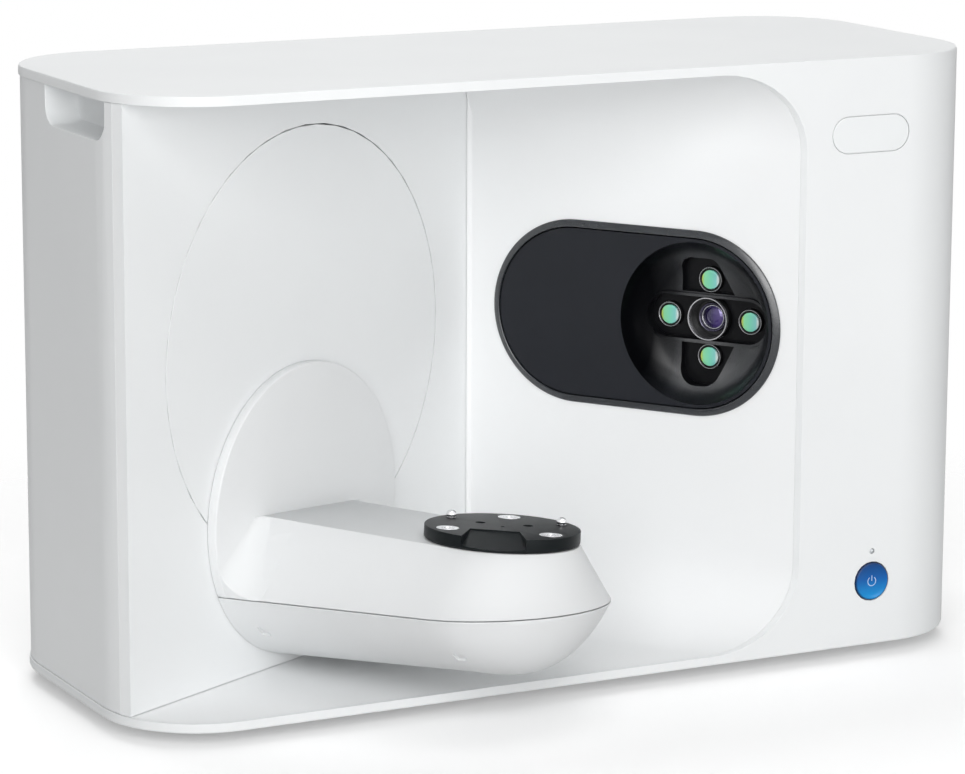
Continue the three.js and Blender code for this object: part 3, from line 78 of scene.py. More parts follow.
swingAxis = Vector(joints["swing_tilt"]["axis"]).normalized()
spinAxis = Vector(joints["turntable_spin"]["axis"]).normalized()
armRight = spinAxis.cross(swingAxis).normalized()
notchAngle = radians(208)
notchRight = cos(notchAngle) * armRight - sin(notchAngle) * swingAxis
plateFrame = axesAt(Vector(joints["turntable_spin"]["pos_m"]), notchRight, spinAxis.cross(notchRight))
armFrame = axesAt(Vector(joints["swing_tilt"]["pos_m"]), armRight, spinAxis)
print("stage: frame loaded,", len(nodes), "nodes")


# Materials: small helpers first

def newMaterial(name):
    material = bpy.data.materials.new(name)
    material.use_nodes = True
    tree = material.node_tree
    return material, tree, tree.nodes["Principled BSDF"]


# Fills a node's inputs. A socket is linked, and a node stands for its first output; anything else is
# set as the value.
def fill(tree, node, inputs):
    for key, value in inputs.items():
        if isinstance(value, bpy.types.Node):
            value = value.outputs[0]
        if isinstance(value, bpy.types.NodeSocket):
            tree.links.new(value, node.inputs[key])
        else:
            node.inputs[key].default_value = value


def addNode(tree, kind, inputs=None, **settings):
    node = tree.nodes.new(kind)
    for key, value in settings.items():
        setattr(node, key, value)
    fill(tree, node, inputs or {})
    return node


def mathNode(tree, operation, *values):
    return addNode(tree, "ShaderNodeMath", dict(enumerate(values)), operation=operation).outputs[0]


# A Mix node keeps its two colours at 6 and 7 and the mixed one at 2.
def mixColours(tree, share, first, second):
    return addNode(tree, "ShaderNodeMix", {0: share, 6: first, 7: second}, data_type="RGBA").outputs[2]


def objectPlace(tree, scale=(1, 1, 1), middle=(0, 0, 0), turn=(0, 0, 0)):
    place = addNode(tree, "ShaderNodeTexCoord").outputs["Object"]
    inputs = {"Vector": place, "Location": middle, "Rotation": turn, "Scale": scale}
    return addNode(tree, "ShaderNodeMapping", inputs, vector_type="TEXTURE").outputs["Vector"]


def noise(tree, place, scale, detail=2, roughness=0.5):
    inputs = {"Vector": place, "Scale": scale, "Detail": detail, "Roughness": roughness}
    return addNode(tree, "ShaderNodeTexNoise", inputs).outputs["Fac"]


def ramp(tree, value, stops):
    node = addNode(tree, "ShaderNodeValToRGB", {"Fac": value})
    elements = node.color_ramp.elements
    while len(elements) < len(stops):
        elements.new(0.5)
    for element, (position, colour) in zip(elements, stops):
        element.position = position
        element.color = (*colour, 1)
    return node.outputs["Color"]


noiseSpan = (0.3, 0.7)        # noise seldom leaves this part of its range


def spread(tree, value, low, high, start=noiseSpan[0], end=noiseSpan[1]):
    inputs = {"Value": value, "From Min": start, "From Max": end, "To Min": low, "To Max": high}
    return addNode(tree, "ShaderNodeMapRange", inputs).outputs["Result"]


def bump(tree, height, strength, distance):
    inputs = {"Height": height, "Strength": strength, "Distance": distance}
    return addNode(tree, "ShaderNodeBump", inputs).outputs["Normal"]


# Two close tones, mixed by the noise
def mottled(tree, cloud, look):
    return ramp(tree, cloud, list(zip(noiseSpan, (look["shade"], look["tone"]))))


def painted(mesh, *coats):
    mesh.materials.clear()
    for material in coats:
        mesh.materials.append(material)
    return mesh


def mouldedPlastic(name, look):
    material, tree, shader = newMaterial(name)
    place = objectPlace(tree)
    cloud = noise(tree, place, look["cloudScale"], detail=3)
    grain = noise(tree, place, look["grainScale"], detail=2, roughness=0.6)
    fill(tree, shader, {
        "Base Color": mottled(tree, cloud, look), "Roughness": spread(tree, grain, *look["roughness"]),
        "Specular IOR Level": look.get("gloss", 0.5), "Coat Weight": look.get("coat", 0),
        "Coat Roughness": look.get("coatRoughness", 0.1),
        "Normal": bump(tree, grain, look["grainStrength"], look["grainDepth"]),
    })
    return material


def workedMetal(name, look):
    material, tree, shader = newMaterial(name)
    place = objectPlace(tree, scale=look["stretch"])
    streak = noise(tree, place, look["streakScale"], detail=3, roughness=0.6)
    cloud = noise(tree, objectPlace(tree), look["cloudScale"], detail=2)
    fill(tree, shader, {
        "Base Color": mottled(tree, cloud, look), "Roughness": spread(tree, streak, *look["roughness"]),
        "Metallic": look["metal"], "Specular IOR Level": look.get("gloss", 0.5),
        "Normal": bump(tree, streak, look["streakStrength"], look["streakDepth"]),
    })
    return material


finishes = {
    "casingWhite": {
        "tone": (0.86, 0.875, 0.88), "shade": (0.835, 0.85, 0.857), "cloudScale": 9,
        "grainScale": 2600, "grainStrength": 0.16, "grainDepth": 0.00004,
        "roughness": (0.40, 0.50), "gloss": 0.42,
    },
    # the casing's white made lighter for the chamber's inner walls: painted light
    "chamberWhite": {
        "tone": (0.915, 0.925, 0.93), "shade": (0.90, 0.91, 0.915), "cloudScale": 7,
        "grainScale": 2600, "grainStrength": 0.12, "grainDepth": 0.00004,
        "roughness": (0.46, 0.56), "gloss": 0.36,
    },
    # the casing's white made a little darker for the arm: painted shade
    "armWhite": {
        "tone": (0.82, 0.832, 0.838), "shade": (0.80, 0.812, 0.818), "cloudScale": 14,
        "grainScale": 2600, "grainStrength": 0.14, "grainDepth": 0.00004,
        "roughness": (0.42, 0.52), "gloss": 0.42,
    },
    "inlayWhite": {
        "tone": (0.86, 0.88, 0.885), "shade": (0.84, 0.86, 0.867), "cloudScale": 30,
        "grainScale": 1800, "grainStrength": 0.03, "grainDepth": 0.00003,
        "roughness": (0.20, 0.26), "coat": 0.6, "coatRoughness": 0.06,
    },
    "headDark": {
        "tone": (0.0078, 0.0092, 0.0140), "shade": (0.0064, 0.0076, 0.0118), "cloudScale": 26,
        "grainScale": 3200, "grainStrength": 0.18, "grainDepth": 0.00004,
        "roughness": (0.30, 0.38), "gloss": 0.34,
    },
    "bezelDark": {
        "tone": (0.026, 0.0285, 0.0335), "shade": (0.020, 0.0225, 0.0270), "cloudScale": 26,
        "grainScale": 3200, "grainStrength": 0.15, "grainDepth": 0.00004,
        "roughness": (0.20, 0.28), "gloss": 0.9,
    },
    "barrelBlack": {
        "tone": (0.0085, 0.0088, 0.0095), "shade": (0.006, 0.0062, 0.007), "cloudScale": 90,
        "grainScale": 2400, "grainStrength": 0.12, "grainDepth": 0.00004,
        "roughness": (0.30, 0.40), "gloss": 0.5,
    },
    "socketBlack": {
        "tone": (0.014, 0.014, 0.0145), "shade": (0.010, 0.010, 0.0105), "cloudScale": 60,
        "grainScale": 1900, "grainStrength": 0.3, "grainDepth": 0.00006,
        "roughness": (0.42, 0.55), "gloss": 0.45,
    },
    "footRubber": {
        "tone": (0.027, 0.027, 0.028), "shade": (0.018, 0.018, 0.019), "cloudScale": 120,
        "grainScale": 1500, "grainStrength": 0.45, "grainDepth": 0.00008,
        "roughness": (0.72, 0.88), "gloss": 0.3,
    },
    # a darker, duller black for the faces in the head's recesses: painted shade in the slot, sails, holes and
    # bowl floor
    "recessBlack": {
        "tone": (0.0042, 0.0044, 0.0055), "shade": (0.0026, 0.0028, 0.0038), "cloudScale": 90,
        "grainScale": 2400, "grainStrength": 0.12, "grainDepth": 0.00004,
        "roughness": (0.30, 0.40), "gloss": 0.16,
    },
    "signPale": {
        "tone": (0.50, 0.66, 0.86), "shade": (0.44, 0.60, 0.82), "cloudScale": 300,
        "grainScale": 2600, "grainStrength": 0.03, "grainDepth": 0.00002,
        "roughness": (0.24, 0.32), "gloss": 0.5,
    },
    "lampMilk": {
        "tone": (0.80, 0.84, 0.86), "shade": (0.76, 0.80, 0.82), "cloudScale": 400,
        "grainScale": 3000, "grainStrength": 0.03, "grainDepth": 0.00002,
        "roughness": (0.18, 0.24), "coat": 0.4,
    },
    "buttonBlue": {
        "tone": (0.010, 0.165, 0.60), "shade": (0.008, 0.135, 0.52), "cloudScale": 60,
        "grainScale": 2400, "grainStrength": 0.03, "grainDepth": 0.00002,
        "roughness": (0.20, 0.28), "coat": 0.5, "coatRoughness": 0.08,
    },
}
plastics = {name: mouldedPlastic(name, look) for name, look in finishes.items()}

metalLooks = {
    "plateBlack": {
        "tone": (0.0052, 0.0076, 0.0088), "shade": (0.0040, 0.0060, 0.0070), "cloudScale": 60,
        "stretch": (1, 1, 1), "streakScale": 3400, "streakStrength": 0.2, "streakDepth": 0.00004,
        "roughness": (0.34, 0.44), "metal": 0, "gloss": 0.13,
    },
    "turnedSteel": {
        "tone": (0.56, 0.57, 0.59), "shade": (0.48, 0.49, 0.51), "cloudScale": 80,
        "stretch": (1, 1, 0.05), "streakScale": 900, "streakStrength": 0.15, "streakDepth": 0.00004,
        "roughness": (0.22, 0.36), "metal": 1,
    },
    "brightSteel": {
        "tone": (0.90, 0.90, 0.91), "shade": (0.82, 0.82, 0.83), "cloudScale": 150,
        "stretch": (1, 1, 1), "streakScale": 2500, "streakStrength": 0.05, "streakDepth": 0.00002,
        "roughness": (0.14, 0.24), "metal": 1,
    },
    "lensRim": {
        "tone": (0.74, 0.74, 0.76), "shade": (0.60, 0.60, 0.63), "cloudScale": 200,
        "stretch": (1, 1, 1), "streakScale": 2500, "streakStrength": 0.05, "streakDepth": 0.00002,
        "roughness": (0.18, 0.28), "metal": 0.9,
    },
    "lensMount": {
        "tone": (0.20, 0.19, 0.26), "shade": (0.12, 0.115, 0.17), "cloudScale": 260,
        "stretch": (1, 1, 1), "streakScale": 2500, "streakStrength": 0.05, "streakDepth": 0.00002,
        "roughness": (0.14, 0.22), "metal": 0.8,
    },
    "zincSheet": {
        "tone": (0.52, 0.54, 0.56), "shade": (0.40, 0.42, 0.44), "cloudScale": 160,
        "stretch": (0.2, 1, 1), "streakScale": 700, "streakStrength": 0.2, "streakDepth": 0.00005,
        "roughness": (0.36, 0.52), "metal": 0.9,
    },
    "motorBlack": {
        "tone": (0.024, 0.024, 0.026), "shade": (0.015, 0.015, 0.017), "cloudScale": 80,
        "stretch": (1, 1, 1), "streakScale": 1500, "streakStrength": 0.2, "streakDepth": 0.00005,
        "roughness": (0.38, 0.50), "metal": 0.3,
    },
}
metals = {name: workedMetal(name, look) for name, look in metalLooks.items()}


def circuitBoard(name, look):
    material, tree, shader = newMaterial(name)
    tracks = addNode(tree, "ShaderNodeTexBrick", {
        "Vector": objectPlace(tree, turn=(pi / 2, 0, 0)), "Scale": look["trackScale"],
        "Mortar Size": look["trackWidth"], "Color1": (*look["mask"], 1), "Color2": (*look["maskLight"], 1),
        "Mortar": (*look["track"], 1),
    }).outputs
    cloud = noise(tree, objectPlace(tree), look["cloudScale"])
    fill(tree, shader, {
        "Base Color": tracks["Color"], "Roughness": spread(tree, cloud, *look["roughness"]),
        "Normal": bump(tree, tracks["Fac"], look["trackStrength"], look["trackDepth"]),
    })
    return material


boardGreen = circuitBoard("boardGreen", {
    "trackScale": 90, "trackWidth": 0.03, "mask": (0.010, 0.085, 0.040), "maskLight": (0.012, 0.10, 0.048),
    "track": (0.03, 0.17, 0.085), "trackStrength": 0.3, "trackDepth": 0.00005,
    "cloudScale": 60, "roughness": (0.3, 0.42),
})


# The glass's own tint, with a painted reflection that shifts its colour from one side of the glass to the
# other, swirled a little by noise.
def glassWithPaintedReflection(name, look):
    material, tree, shader = newMaterial(name)
    cloud = noise(tree, objectPlace(tree), look["cloudScale"], detail=1)
    across = addNode(tree, "ShaderNodeAttribute", attribute_name="lensAcross")
    share = spread(tree, across.outputs["Fac"], 0, 1, -1, 1)
    paintedReflectionShare = mathNode(tree, "MULTIPLY_ADD", cloud, look["wobble"], share)
    fill(tree, shader, {
        "Base Color": ramp(tree, paintedReflectionShare, look["tintAndPaintedReflection"]), "Roughness": spread(tree, cloud, *look["roughness"]),
        "Metallic": look["metal"], "Coat Weight": look["coat"], "Coat Roughness": look["coatRoughness"],
    })
    return material


# cyan-green tint, with a painted reflection: an orange and yellow fringe on one side and a pale side opposite
cameraGlass = glassWithPaintedReflection("cameraGlass", {
    "tintAndPaintedReflection": [
        (0.0, (0.62, 0.40, 0.10)), (0.10, (0.42, 0.66, 0.10)), (0.2, (0.26, 0.76, 0.38)),
        (0.55, (0.20, 0.72, 0.50)), (0.85, (0.24, 0.66, 0.62)), (1.0, (0.70, 0.80, 0.78)),
    ],
    "wobble": 0.06, "cloudScale": 120, "roughness": (0.05, 0.10), "metal": 0.1,
    "coat": 0.8, "coatRoughness": 0.03,
})
# dark violet tint, with a painted highlight that is lighter towards one side and swirled by noise
projectorGlass = glassWithPaintedReflection("projectorGlass", {
    "tintAndPaintedReflection": [(0.1, (0.006, 0.004, 0.028)), (0.5, (0.018, 0.010, 0.072)), (0.9, (0.075, 0.045, 0.21))],
    "wobble": 0.3, "cloudScale": 220, "roughness": (0.03, 0.08), "metal": 0.3,
    "coat": 0.8, "coatRoughness": 0.03,
})
print("stage: materials made")


# CAD nodes: each listed node gets its finish, merged faces and even shading, and those in edgeWidths softened
# edges

nodeFinishes = {
    "casingWhite": ["outer_frame", "left_wall", "swing_disc", "left_cover", "right_cover", "rear_cover"],
    "chamberWhite": ["chamber_shell"],
    "armWhite": ["arm_upper_shell", "arm_lower_shell"],
    "inlayWhite": ["badge_inlay"],
    "headDark": ["head_face"],
    "bezelDark": ["head_bezel"],
    "barrelBlack": ["camera_left", "camera_right", "camera_top", "camera_bottom", "projector_barrel"],
    "socketBlack": ["power_inlet", "switch_housing", "rear_switch", "fan_frame", "fan_rotor"],
    "footRubber": [
        "foot_left_front", "foot_left_rear", "foot_right_front", "foot_right_rear",
        "swing_belt", "turntable_belt",
    ],
    "lampMilk": ["light_pipe"],
    "buttonBlue": ["power_button"],
    "plateBlack": ["turntable_plate"],
    "turnedSteel": [
        "swing_bearing", "swing_shaft", "swing_pulley", "swing_motor_pulley", "turntable_bearing",
        "turntable_spindle", "turntable_pulley", "turntable_motor_pulley", "usb_socket",
    ],
    "brightSteel": [
        "plate_insert_1", "plate_insert_2", "plate_insert_3", "locating_pin_1", "locating_pin_2",
        "projector_ring",
    ],
    "zincSheet": ["swing_bracket", "head_bracket", "chassis_plate", "power_supply"],
    "motorBlack": ["swing_motor", "turntable_motor"],
    "boardGreen": ["control_board", "main_board"],
    "cameraGlass": ["camera_lens_left", "camera_lens_right", "camera_lens_top", "camera_lens_bottom"],
    "projectorGlass": ["projector_lens"],
}
materials = {
    **plastics, **metals,
    "boardGreen": boardGreen, "cameraGlass": cameraGlass, "projectorGlass": projectorGlass,
}

nodeShape = {"flatAngle": 0.6, "edgeSegments": 2, "edgeAngle": 35, "normalWeight": 80}
edgeWidths = {
    "outer_frame": 0.5, "left_wall": 0.8, "chamber_shell": 0.3, "left_cover": 0.3, "right_cover": 0.3,
    "rear_cover": 0.4, "swing_disc": 0.3, "arm_upper_shell": 0.4, "arm_lower_shell": 0.3,
    "turntable_plate": 0.25, "head_bezel": 0.2, "head_face": 0.2, "power_button": 0.2,
}


def finishNode(name, material):
    node = nodes[name]
    painted(node.data, material)
    node.data.polygons.foreach_set("use_smooth", [True] * len(node.data.polygons))
    weld = node.modifiers.new("weld", "WELD")
    weld.merge_threshold = weldGap
    flat = node.modifiers.new("flat", "DECIMATE")
    flat.decimate_type = "DISSOLVE"
    flat.angle_limit = radians(nodeShape["flatAngle"])
    if name in edgeWidths:
        edge = node.modifiers.new("edge", "BEVEL")
        edge.width = edgeWidths[name] * mm
        edge.segments = nodeShape["edgeSegments"]
        edge.limit_method = "ANGLE"
        edge.angle_limit = radians(nodeShape["edgeAngle"])
    even = node.modifiers.new("even", "WEIGHTED_NORMAL")
    even.keep_sharp = True
    even.weight = nodeShape["normalWeight"]


for finish, names in nodeFinishes.items():
    for name in names:
        finishNode(name, materials[finish])
unfinished = sorted(set(nodes) - {name for names in nodeFinishes.values() for name in names})
print("stage: nodes finished, without a finish:", unfinished)


# Piece tools

def addPiece(name, mesh, place, body, stands=()):
    mesh.transform(place)
    piece = bpy.data.objects.new(name, mesh)
    scene.collection.objects.link(piece)
    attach(piece, body)
    if stands:
        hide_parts(*stands)


def smoothMesh(mesh, sharpAngle=30):
    mesh.polygons.foreach_set("use_smooth", [True] * len(mesh.polygons))
    mesh.set_sharp_from_angle(angle=radians(sharpAngle))
    return mesh


def shifted(mesh, x, y=0, z=0):
    mesh.transform(Matrix.Translation((x * mm, y * mm, z * mm)))
    return mesh


def meshFrom(name, shape):
    mesh = bpy.data.meshes.new(name)
    shape.to_mesh(mesh)
    shape.free()
    return mesh


def bridgeRows(shape, rows):
    for low, high in zip(rows, rows[1:]):
        for i in range(len(low)):
            j = (i + 1) % len(low)
            shape.faces.new((low[i], low[j], high[j], high[i]))


# A profile of (radius, height) pairs in millimetres, turned round Z. It starts and ends on the axis
# or comes back to its first point.
def turned(name, profile, count, material):
    shape = bmesh.new()
    rings = []
    for radius, height in profile:
        spots = 1 if radius == 0 else count
        ring = []
        for step in range(spots):
            angle = 2 * pi * step / count
            ring.append(shape.verts.new((radius * cos(angle) * mm, radius * sin(angle) * mm, height * mm)))
        rings.append(ring)
    for low, high in zip(rings, rings[1:]):
        for step in range(count):
            a, b = low[step % len(low)], low[(step + 1) % len(low)]
            c, d = high[(step + 1) % len(high)], high[step % len(high)]
            corners = [vert for i, vert in enumerate((a, b, c, d)) if vert not in (a, b, c, d)[:i]]
            if len(corners) > 2:
                shape.faces.new(corners)
    bmesh.ops.remove_doubles(shape, verts=shape.verts[:], dist=closeGap)
    bmesh.ops.recalc_face_normals(shape, faces=shape.faces[:])
    return smoothMesh(painted(meshFrom(name, shape), material))


# A flat outline in millimetres carried along Z from low to high.
def prism(name, outline, low, high):
    shape = bmesh.new()
    bottom = [shape.verts.new((x * mm, y * mm, low * mm)) for x, y in outline]
    top = [shape.verts.new((x * mm, y * mm, high * mm)) for x, y in outline]
    shape.faces.new(bottom)
    shape.faces.new(top)
    bridgeRows(shape, [bottom, top])
    bmesh.ops.recalc_face_normals(shape, faces=shape.faces[:])
    return meshFrom(name, shape)


def boxMesh(name, low, high):
    outline = [(low[0], low[1]), (high[0], low[1]), (high[0], high[1]), (low[0], high[1])]
    return prism(name, outline, low[2], high[2])


def arcPoints(x, y, radius, start, end, count):
    angles = [radians(start + (end - start) * i / count) for i in range(count + 1)]
    return [(x + radius * cos(angle), y + radius * sin(angle)) for angle in angles]


def pillPoints(halfStraight, radius, x=0, y=0, count=32):
    right = arcPoints(x + halfStraight, y, radius, -90, 90, count)
    return right + arcPoints(x - halfStraight, y, radius, 90, 270, count)


# Takes the cutters away from a closed mesh or adds to it, and softens its edges with a small bevel.
def carved(name, base, steps, edge):
    helpers = []
    block = bpy.data.objects.new(name, base)
    scene.collection.objects.link(block)
    for operation, mesh in steps:
        helper = bpy.data.objects.new(name + "Helper", mesh)
        scene.collection.objects.link(helper)
        helpers.append(helper)
        modifier = block.modifiers.new(operation, "BOOLEAN")
        modifier.operation = operation
        modifier.solver = "EXACT"
        modifier.object = helper
    weld = block.modifiers.new("weld", "WELD")
    weld.merge_threshold = weldGap
    soften = block.modifiers.new("soften", "BEVEL")
    soften.width = edge["width"] * mm
    soften.segments = edge["segments"]
    soften.limit_method = "ANGLE"
    soften.angle_limit = radians(edge["angle"])
    soften.harden_normals = True
    block.data.polygons.foreach_set("use_smooth", [True] * len(block.data.polygons))
    result = bpy.data.meshes.new_from_object(block.evaluated_get(bpy.context.evaluated_depsgraph_get()))
    for item in helpers + [block]:
        bpy.data.objects.remove(item)
    result.name = name
    return result


# Geometry Nodes helpers

def newTree(name, inputs):
    tree = bpy.data.node_groups.new(name, "GeometryNodeTree")
    tree.interface.new_socket("Geometry", in_out="INPUT", socket_type="NodeSocketGeometry")
    for label, kind in inputs.items():
        tree.interface.new_socket(label, in_out="INPUT", socket_type="NodeSocket" + kind)
    tree.interface.new_socket("Geometry", in_out="OUTPUT", socket_type="NodeSocketGeometry")
    return tree, addNode(tree, "NodeGroupInput").outputs, addNode(tree, "NodeGroupOutput")


def finishTree(tree, source, output, material):
    realize = addNode(tree, "GeometryNodeRealizeInstances", {0: source})
    fill(tree, output, {0: addNode(tree, "GeometryNodeSetMaterial", {0: realize, "Material": material})})


def grown(tree, host, settings):
    holder = bpy.data.objects.new(tree.name, host)
    scene.collection.objects.link(holder)
    modifier = holder.modifiers.new("grow", "NODES")
    modifier.node_group = tree
    for socket in tree.interface.items_tree:
        if socket.in_out == "INPUT" and socket.name in settings:
            modifier[socket.identifier] = settings[socket.name]
    result = bpy.data.meshes.new_from_object(holder.evaluated_get(bpy.context.evaluated_depsgraph_get()))
    holder.modifiers.remove(modifier)
    bpy.data.objects.remove(holder)
    return result


def outlineMesh(name, points):
    mesh = bpy.data.meshes.new(name)
    edges = [(i, (i + 1) % len(points)) for i in range(len(points))]
    mesh.from_pydata([(x * mm, y * mm, 0) for x, y in points], edges, [])
    return mesh


# Carries a closed profile (X outward, Y to the back) round a pill-shaped path. The fillets stop just
# short of half the height, so that the two end arcs keep apart.
def pillSweep(name, material, filletShare=0.9999):
    tree, given, output = newTree(name, {"Half Straight": "Float", "Radius": "Float", "Arc Steps": "Int"})
    height = mathNode(tree, "MULTIPLY", given["Radius"], 2)
    width = mathNode(tree, "ADD", mathNode(tree, "MULTIPLY", given["Half Straight"], 2), height)
    path = addNode(tree, "GeometryNodeCurvePrimitiveQuadrilateral", {"Width": width, "Height": height})
    fillet = addNode(tree, "GeometryNodeFilletCurve", {
        "Curve": path, "Radius": mathNode(tree, "MULTIPLY", given["Radius"], filletShare),
        "Count": given["Arc Steps"],
    }, mode="POLY")
    normals = addNode(tree, "GeometryNodeSetCurveNormal", {"Curve": fillet}, mode="Z_UP")
    profile = addNode(tree, "GeometryNodeMeshToCurve", {"Mesh": given["Geometry"]})
    sweep = addNode(tree, "GeometryNodeCurveToMesh", {"Curve": normals, "Profile Curve": profile})
    finishTree(tree, sweep, output, material)
    return tree


# Sets copies of a piece on an oval, one every "Step Angle", turned with it when "Turn" is 1.
def pieceRing(name, material):
    tree, given, output = newTree(name, {
        "Piece": "Object", "Count": "Int", "Half Width": "Float", "Half Height": "Float",
        "Start Angle": "Float", "Step Angle": "Float", "Turn": "Float",
    })
    travel = mathNode(tree, "MULTIPLY", addNode(tree, "GeometryNodeInputIndex"), given["Step Angle"])
    angle = mathNode(tree, "ADD", travel, given["Start Angle"])
    place = addNode(tree, "ShaderNodeCombineXYZ", {
        "X": mathNode(tree, "MULTIPLY", mathNode(tree, "COSINE", angle), given["Half Width"]),
        "Y": mathNode(tree, "MULTIPLY", mathNode(tree, "SINE", angle), given["Half Height"]),
    })
    spots = addNode(tree, "GeometryNodePoints", {"Count": given["Count"], "Position": place})
    turn = addNode(tree, "ShaderNodeCombineXYZ", {"Z": mathNode(tree, "MULTIPLY", angle, given["Turn"])})
    piece = addNode(tree, "GeometryNodeObjectInfo", {"Object": given["Piece"]}, transform_space="ORIGINAL")
    copies = addNode(tree, "GeometryNodeInstanceOnPoints", {
        "Points": spots, "Instance": piece.outputs["Geometry"], "Rotation": turn,
    })
    finishTree(tree, copies, output, material)
    return tree


def ringOf(name, mesh, material, settings):
    model = bpy.data.objects.new(name + "Model", mesh)
    scene.collection.objects.link(model)
    host = bpy.data.meshes.new(name + "Host")
    result = grown(pieceRing(name + "Ring", material), host, {"Piece": model, **settings})
    bpy.data.objects.remove(model)
    return result


# Camera head: a bevelled bezel carried round a pill

bezelLook = {
    "halfStraight": 37, "bore": 47.4, "steps": 40,
    "profile": [
        (0, 10), (0, -2.1), (0.12, -2.4), (0.42, -2.56), (0.8, -2.5), (3.45, -1.2), (3.8, -0.98),
        (3.96, -0.7), (3.98, -0.32), (1.5, -0.32), (1.5, 10),
    ],
}
profile = outlineMesh("bezelProfile", bezelLook["profile"][::-1])
bezelMesh = grown(pillSweep("headBezelSweep", plastics["bezelDark"]), profile, {
    "Half Straight": bezelLook["halfStraight"] * mm, "Radius": bezelLook["bore"] * mm,
    "Arc Steps": bezelLook["steps"],
})
addPiece("headBezel", smoothMesh(bezelMesh, sharpAngle=32), headFrame, "casing", ["head_bezel"])

# Face of the head: a plate with a bowl, a slot with a raised lip and two sail-shaped recesses

faceLook = {
    "halfStraight": 37, "radius": 46.7, "front": 1.9, "back": -22, "recessFloor": -20.5, "lens": 37,
    "bowlMouth": 45, "bowlFloor": 26, "bowlDepth": -16.4, "bowlSteps": 16, "wallReach": 38.5,
    "slotHalf": 24.4, "slotRadius": 12, "lip": 1.5, "lipTop": -14.6,
    "upperSail": {
        "inner": -16.2, "outer": 15.8, "bottom": 14.3, "top": 33.6,
        "slant": 0.4, "corner": 6.2, "round": 6.4,
    },
    "lowerSail": {
        "inner": -16.2, "outer": 15.8, "bottom": 14.3, "top": 37.6,
        "slant": -1.6, "corner": 10.5, "round": 9.5,
    },
    "cameraHole": 7.35, "cameraAcross": 24.5, "cameraUp": 21.5, "projectorHole": 12.3,
    "bowlTop": 8, "lipBottom": -18, "slotTop": 4, "sailTop": -4, "drillBottom": -40, "drillTop": 0,
    "pillSteps": 48, "bowlRound": 96, "projectorSteps": 64, "cameraSteps": 40,
    "edge": {"width": 0.28, "segments": 2, "angle": 32},
    "recessDrop": 0.6, "recessTilt": 0.3, "dishDrop": 0.4, "dishTilt": 0.02,
    # painted shade and highlight of the dish: gains across it and from bottom to top set its tone and gloss
    "dish": {
        "tone": (0.0105, 0.0118, 0.0150), "shade": (0.0024, 0.0026, 0.0034), "reach": 45,
        "across": [(-33, 0), (-21, 0.22), (-11, 0.8), (0, 1), (20, 0.5), (45, 0.4)], "up": (-38, 10),
        "lowGain": 2.7, "highGain": 1.3, "gloss": (0.02, 1.6), "glossSpan": (0, 2),
        "grainScale": 3200, "grainStrength": 0.18, "grainDepth": 0.00004, "roughness": (0.26, 0.34),
    },
}


# A sail has a straight foot along the slot, one slanted side and two unequal round corners.
def sailPoints(look, middle, side, slantStart=34, slantSteps=10, cornerSteps=12):
    inner, top, corner = look["inner"], look["top"], look["corner"]
    points = [(inner, look["bottom"]), (look["outer"], look["bottom"])]
    points += arcPoints(look["slant"], top - look["round"], look["round"], slantStart, 90, slantSteps)
    points += arcPoints(inner + corner, top - corner, corner, 90, 180, cornerSteps)
    return [(middle + x, side * y) for x, y in points]


def makeFace(look):
    dark, middle, deep = plastics["headDark"], look["lens"], look["recessFloor"]
    outline = pillPoints(look["halfStraight"], look["radius"], count=look["pillSteps"])
    base = prism("headFace", outline, look["back"], look["front"])

    bowl = [(0, look["bowlTop"]), (look["bowlMouth"], look["bowlTop"])]
    for step in range(look["bowlSteps"] + 1):
        turn = pi / 2 * step / look["bowlSteps"]
        radius = look["bowlFloor"] + (look["bowlMouth"] - look["bowlFloor"]) * cos(turn)
        bowl.append((radius, look["front"] + (look["bowlDepth"] - look["front"]) * sin(turn)))
    bowl.append((0, look["bowlDepth"]))
    lipOutline = pillPoints(look["slotHalf"], look["slotRadius"] + look["lip"], middle)
    slotOutline = pillPoints(look["slotHalf"], look["slotRadius"], middle)
    steps = [
        ("DIFFERENCE", shifted(turned("bowl", bowl, look["bowlRound"], dark), middle)),
        ("UNION", prism("lip", lipOutline, look["lipBottom"], look["lipTop"])),
        ("DIFFERENCE", prism("slot", slotOutline, deep, look["slotTop"])),
    ]
    for side, sail in ((1, look["upperSail"]), (-1, look["lowerSail"])):
        steps.append(("DIFFERENCE", prism("sail", sailPoints(sail, middle, side), deep, look["sailTop"])))

    def drill(radius, count, x, y):
        low, high = look["drillBottom"], look["drillTop"]
        hole = turned("hole", [(0, low), (radius, low), (radius, high), (0, high)], count, dark)
        steps.append(("DIFFERENCE", shifted(hole, middle + x, y)))

    drill(look["projectorHole"], look["projectorSteps"], 0, 0)
    for x, y in ((1, 0), (-1, 0), (0, 1), (0, -1)):
        drill(look["cameraHole"], look["cameraSteps"], x * look["cameraAcross"], y * look["cameraUp"])

    mesh = carved("headFace", base, steps, look["edge"])
    painted(mesh, dark, plastics["recessBlack"], dishPaintedShade(look["dish"]))
    # faces deep in the recesses take the darker black of painted shade, and the dish faces take painted light
    # and shade
    for face in mesh.polygons:
        x, y, height = face.center / mm
        away, tilt = hypot(x - middle, y), face.normal.z
        deepDown = height < look["bowlDepth"] - look["recessDrop"]
        belowRim = height < look["front"] - look["dishDrop"]
        inRecess = deepDown or (away < look["wallReach"] and tilt < look["recessTilt"])
        inDish = belowRim and away < look["bowlMouth"] and tilt > look["dishTilt"]
        face.material_index = 1 if inRecess else 2 if inDish else 0        # in the order painted above
    return mesh
